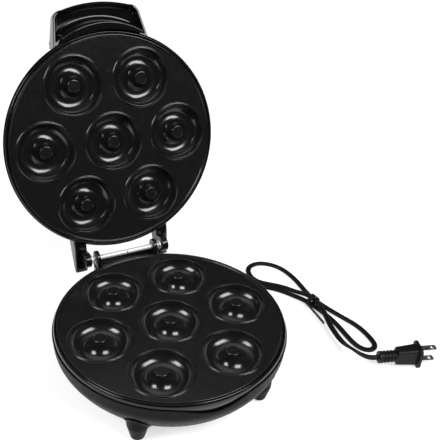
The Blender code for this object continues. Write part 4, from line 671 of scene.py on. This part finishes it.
ARM_REACH, ARM_IN, ARM_OUT = 28.0, 36.0, 47.8
KNUCKLE_IN, KNUCKLE_OUT, KNUCKLE_TOP = 36.3, 42.4, 10.6


def arms(shape):
    """Hinge arms of the lid: an outline in (y, z) from the hinge axis with soft corners, carried along x, and
    the knuckles on the pin."""
    outline = ARM_REACH * np.array([(-1, 1.107), (-1, 0.25), (-0.32, 0.25), (0, 0.332), (0.357, 0.386),
                                    (0.571, 0.436), (0.586, 0.571), (0.443, 0.679), (0.179, 0.729),
                                    (-0.489, 0.857)])
    soft = softened(outline, (0.5, 0.5, 3, 3, 3, 2.6, 2.6, 3, 4, 5), 8, hold=0)
    arc = math.pi * np.arange(25) / 24
    knuckle = softened(np.concatenate([[(EAR_R, KNUCKLE_TOP), (-EAR_R, KNUCKLE_TOP)],
                                       EAR_R * np.stack([-np.cos(arc), -np.sin(arc)], -1)]), 0.3, 3)
    for side in (-1, 1):
        for piece, start, end, edge in ((soft, ARM_IN, ARM_OUT, 1.4), (knuckle, KNUCKLE_IN, KNUCKLE_OUT, 0.5)):
            low, high = sorted((side * start, side * end))
            shape.slab(piece, low, high, edge, ON_LID_AXIS @ ALONG_X)
    return shape


for name, form in (("lid_dome", lid_dome), ("lid_handle", handle), ("lid_chin", chin), ("lid_arms", arms)):
    form(Shape()).finish(name, GLOSS.made, "lid", ["lid_cover"], "gloss_black")

# The lead's route from the strain relief to the plug, from the middle of the base
ROUTE = np.array([
    (0, 128, 24), (0, 137, 22.5), (3, 147, 17), (12, 157, 9), (28, 160, 4), (48, 154, 2.3), (70, 138, 2.3),
    (90, 116, 2.3), (106, 96, 2.3), (121, 78, 2.3), (137, 66, 2.3), (149, 55, 2.3), (157.5, 42.5, 2.5),
    (162.3, 32.5, 3.5), (166, 22, 3.9), (169.8, 11, 3.3), (172.9, -1, 2.4), (174, -14, 2.3), (173.8, -27, 2.3),
    (174, -40, 2.3), (177.3, -51, 2.3), (183.6, -55.4, 2.3), (189.9, -53.2, 2.3), (192.9, -45, 2.3),
    (193, -32, 2.3), (191, -20, 2.3), (186.6, -8, 2.3), (181.8, 3.5, 2.6), (176.8, 15, 3.5), (173.4, 27, 3.9),
    (173, 43, 2.5), (173.6, 60, 2.3), (172.5, 75, 2.3), (169, 88, 2.3), (161.5, 98.5, 2.3), (151, 104.5, 2.3),
    (139, 102.5, 2.3), (132.5, 91, 2.3), (134.8, 78, 2.3), (144.5, 68, 2.3), (155, 58.5, 2.3), (163, 46.5, 3.2),
    (168, 34.5, 6.4), (169.6, 23.5, 8.5), (169.3, 12, 8.6), (167.8, 0, 7), (164.4, -13.8, 6), (161.9, -28.6, 6),
    (161, -43.9, 7), (161.1, -55.7, 10.4), (162.6, -63.7, 11.5), (167.3, -70.5, 11.3), (172, -73.2, 11.1),
    (175.8, -74.3, 11.1),
])
LEAD_W, LEAD_H, LEAD_LOWER = 5.4, 3.0, 0.75


def lead():
    """A figure-eight section carried along the route: two round cores side by side across the path, which
    turn upright where the lead goes into the plug. Between its ends the flat lead lies a little lower than the
    round tube of the solids, on the floor."""
    line = smooth_curve(ROUTE, 900)
    along = np.gradient(line, axis=0)
    run = np.concatenate([[0], np.cumsum(np.linalg.norm(np.diff(line, axis=0), axis=1))])
    total = run[-1]
    lower = LEAD_LOWER * np.clip((run - 35) / 30, 0, 1) * np.clip((total - 60 - run) / 40, 0, 1)
    line = line - np.stack([0 * run, 0 * run, lower], -1)
    along /= np.linalg.norm(along, axis=1, keepdims=True)
    up = np.array([0, 0, 1.0]) - along * along[:, 2:]
    up /= np.linalg.norm(up, axis=1, keepdims=True)
    across = np.cross(along, up)
    twist = (math.pi / 2 * np.clip((run - (total - 45)) / 40, 0, 1))[:, None]
    wide = across * np.cos(twist) + up * np.sin(twist)
    tall = up * np.cos(twist) - across * np.sin(twist)
    # The round part of each core, with the shallow groove between the two
    q = np.linspace(-math.radians(128), math.radians(128), 15)
    core, r = LEAD_W / 2 - LEAD_H / 2, LEAD_H / 2
    right = np.stack([core + r * np.cos(q), r * np.sin(q)], -1)
    section = np.concatenate([right, -right])
    grid = line[:, None] + section[None, :, :1] * wide[:, None] + section[None, :, 1:] * tall[:, None]
    cord = Shape().grid(grid, ON_BASE, close_cols=True, caps=True)
    made = cord.finish("power_cord", VINYL.made, "base", ["power_cord"], "black_vinyl", sharp=60)
    return made, (line + np.array([0, BASE_Y, 0])) * MM


power_cord, lead_line = lead()

# Camera as the photograph was taken
camera = bpy.data.objects.new("camera", bpy.data.cameras.new("camera"))
bpy.context.collection.objects.link(camera)
# Columns: right, up and back of the view, and the camera's place
camera.matrix_world = Matrix(((0.899096, 0.190671, -0.394044, -0.222826),
                              (-0.433937, 0.50677, -0.744905, -0.523273),
                              (0.057657, 0.840731, 0.538374, 0.495446),
                              (0, 0, 0, 1)))
camera.data.lens, camera.data.sensor_width = 63.826, 36.0
camera.data.shift_x, camera.data.shift_y = 0.0328, -0.0089
camera.data.clip_start = 0.01
bpy.context.scene.camera = camera
bpy.context.scene.view_settings.view_transform = "Standard"


# Floor, background and lamps
def path_mix(tree, first, second):
    """The first shader for what the camera sees, directly, through glass or mirrored, and the second for the
    rest."""
    path = tree.nodes.new("ShaderNodeLightPath")
    seen, clear = tree.nodes.new("ShaderNodeMath"), tree.nodes.new("ShaderNodeMath")
    seen.operation = clear.operation = "MAXIMUM"
    tree.links.new(path.outputs["Is Camera Ray"], clear.inputs[0])
    tree.links.new(path.outputs["Is Transmission Ray"], clear.inputs[1])
    tree.links.new(clear.outputs[0], seen.inputs[0])
    tree.links.new(path.outputs["Is Glossy Ray"], seen.inputs[1])
    mix = tree.nodes.new("ShaderNodeMixShader")
    tree.links.new(seen.outputs[0], mix.inputs["Fac"])
    tree.links.new(second.outputs[0], mix.inputs[1])
    tree.links.new(first.outputs[0], mix.inputs[2])
    return mix


def by_direction(tree, slope, low, high, dark, light):
    """A ramp from dark to light over 0.5 plus the dot product of the slope and the direction."""
    direction, dot = tree.nodes.new("ShaderNodeTexCoord"), tree.nodes.new("ShaderNodeVectorMath")
    dot.operation, dot.inputs[1].default_value = "DOT_PRODUCT", slope
    half, ramp = tree.nodes.new("ShaderNodeMath"), tree.nodes.new("ShaderNodeValToRGB")
    half.operation, half.inputs[1].default_value = "ADD", 0.5
    ramp.color_ramp.elements[0].position, ramp.color_ramp.elements[1].position = low, high
    ramp.color_ramp.elements[0].color = (dark, dark, dark, 1)
    ramp.color_ramp.elements[1].color = (light, light, light, 1)
    tree.links.new(direction.outputs["Generated"], dot.inputs[0])
    tree.links.new(dot.outputs["Value"], half.inputs[0])
    tree.links.new(half.outputs[0], ramp.inputs["Fac"])
    return ramp


def studio():
    """White for the camera. Reflections show the white backdrop behind and below, and past its top edge a dim
    room with a pale ceiling. Everything else gets a plain fill light."""
    world = bpy.data.worlds.new("studio")
    bpy.context.scene.world = world
    world.use_nodes = True
    tree = world.node_tree
    fill, white, room = tree.nodes["Background"], *(tree.nodes.new("ShaderNodeBackground") for _ in range(2))
    for background, strength in ((fill, 0.32), (white, 1.0), (room, 1.0)):
        background.inputs["Color"].default_value = (1, 1, 1, 1)
        background.inputs["Strength"].default_value = strength
    ceiling = by_direction(tree, (0, 0.125, 0.425), 0.87, 0.94, 0.03, 0.8)
    backdrop = by_direction(tree, (0, 0.25, -0.45), 0.61, 0.66, 0.0, 1.0)
    mirrored, shown = tree.nodes.new("ShaderNodeMixShader"), tree.nodes.new("ShaderNodeMixShader")
    path = tree.nodes.new("ShaderNodeLightPath")
    tree.links.new(ceiling.outputs["Color"], room.inputs["Color"])
    tree.links.new(backdrop.outputs["Color"], mirrored.inputs["Fac"])
    tree.links.new(room.outputs[0], mirrored.inputs[1])
    tree.links.new(white.outputs[0], mirrored.inputs[2])
    tree.links.new(path.outputs["Is Glossy Ray"], shown.inputs["Fac"])
    tree.links.new(white.outputs[0], shown.inputs[1])
    tree.links.new(mirrored.outputs[0], shown.inputs[2])
    tree.links.new(path_mix(tree, shown, fill).outputs[0], tree.nodes["World Output"].inputs["Surface"])


def paper_floor(side, front, back):
    """A rectangle at the table's height, of white paper that keeps the cooker's shadow and that the camera and
    reflections see a little brighter than it is lit."""
    corners = np.array([(-side, front, 0), (side, front, 0), (side, back, 0), (-side, back, 0)]) * MM
    mesh = bpy.data.meshes.new("floor")
    mesh.from_pydata(corners.tolist(), [], [[0, 1, 2, 3]])
    floor = bpy.data.objects.new("floor", mesh)
    bpy.context.collection.objects.link(floor)
    paper = bpy.data.materials.new("white_paper")
    paper.use_nodes = True
    tree = paper.node_tree
    diffuse, glow = tree.nodes.new("ShaderNodeBsdfDiffuse"), tree.nodes.new("ShaderNodeEmission")
    diffuse.inputs["Color"].default_value = (0.6, 0.6, 0.6, 1)
    glow.inputs["Strength"].default_value = 0.62
    both = tree.nodes.new("ShaderNodeAddShader")
    tree.links.new(diffuse.outputs[0], both.inputs[0])
    tree.links.new(glow.outputs[0], both.inputs[1])
    tree.links.new(path_mix(tree, both, diffuse).outputs[0], tree.nodes["Material Output"].inputs["Surface"])
    mesh.materials.append(paper)


def lamp(name, azimuth, elevation, far, wide, high, power):
    """A softbox of that width, height and power in watts, that many metres from the middle of the cooker and
    facing it. The azimuth is in degrees from +Y towards +X."""
    light = bpy.data.lights.new(name, "AREA")
    light.shape, light.size, light.size_y, light.energy = "RECTANGLE", wide, high, power
    made = bpy.data.objects.new(name, light)
    bpy.context.collection.objects.link(made)
    a, e = math.radians(azimuth), math.radians(elevation)
    toward = Vector((math.sin(a) * math.cos(e), math.cos(a) * math.cos(e), math.sin(e)))
    made.location = Vector((0, BASE_Y * MM, 0.06)) + far * toward
    made.rotation_euler = toward.to_track_quat("Z", "Y").to_euler()


studio()
paper_floor(500.0, -260.0, 750.0)
lamp("front_right_softbox", 146, 46, 1.3, 0.85, 0.55, 14.5)
lamp("left_softbox", -93, 40, 1.3, 0.56, 0.56, 10)
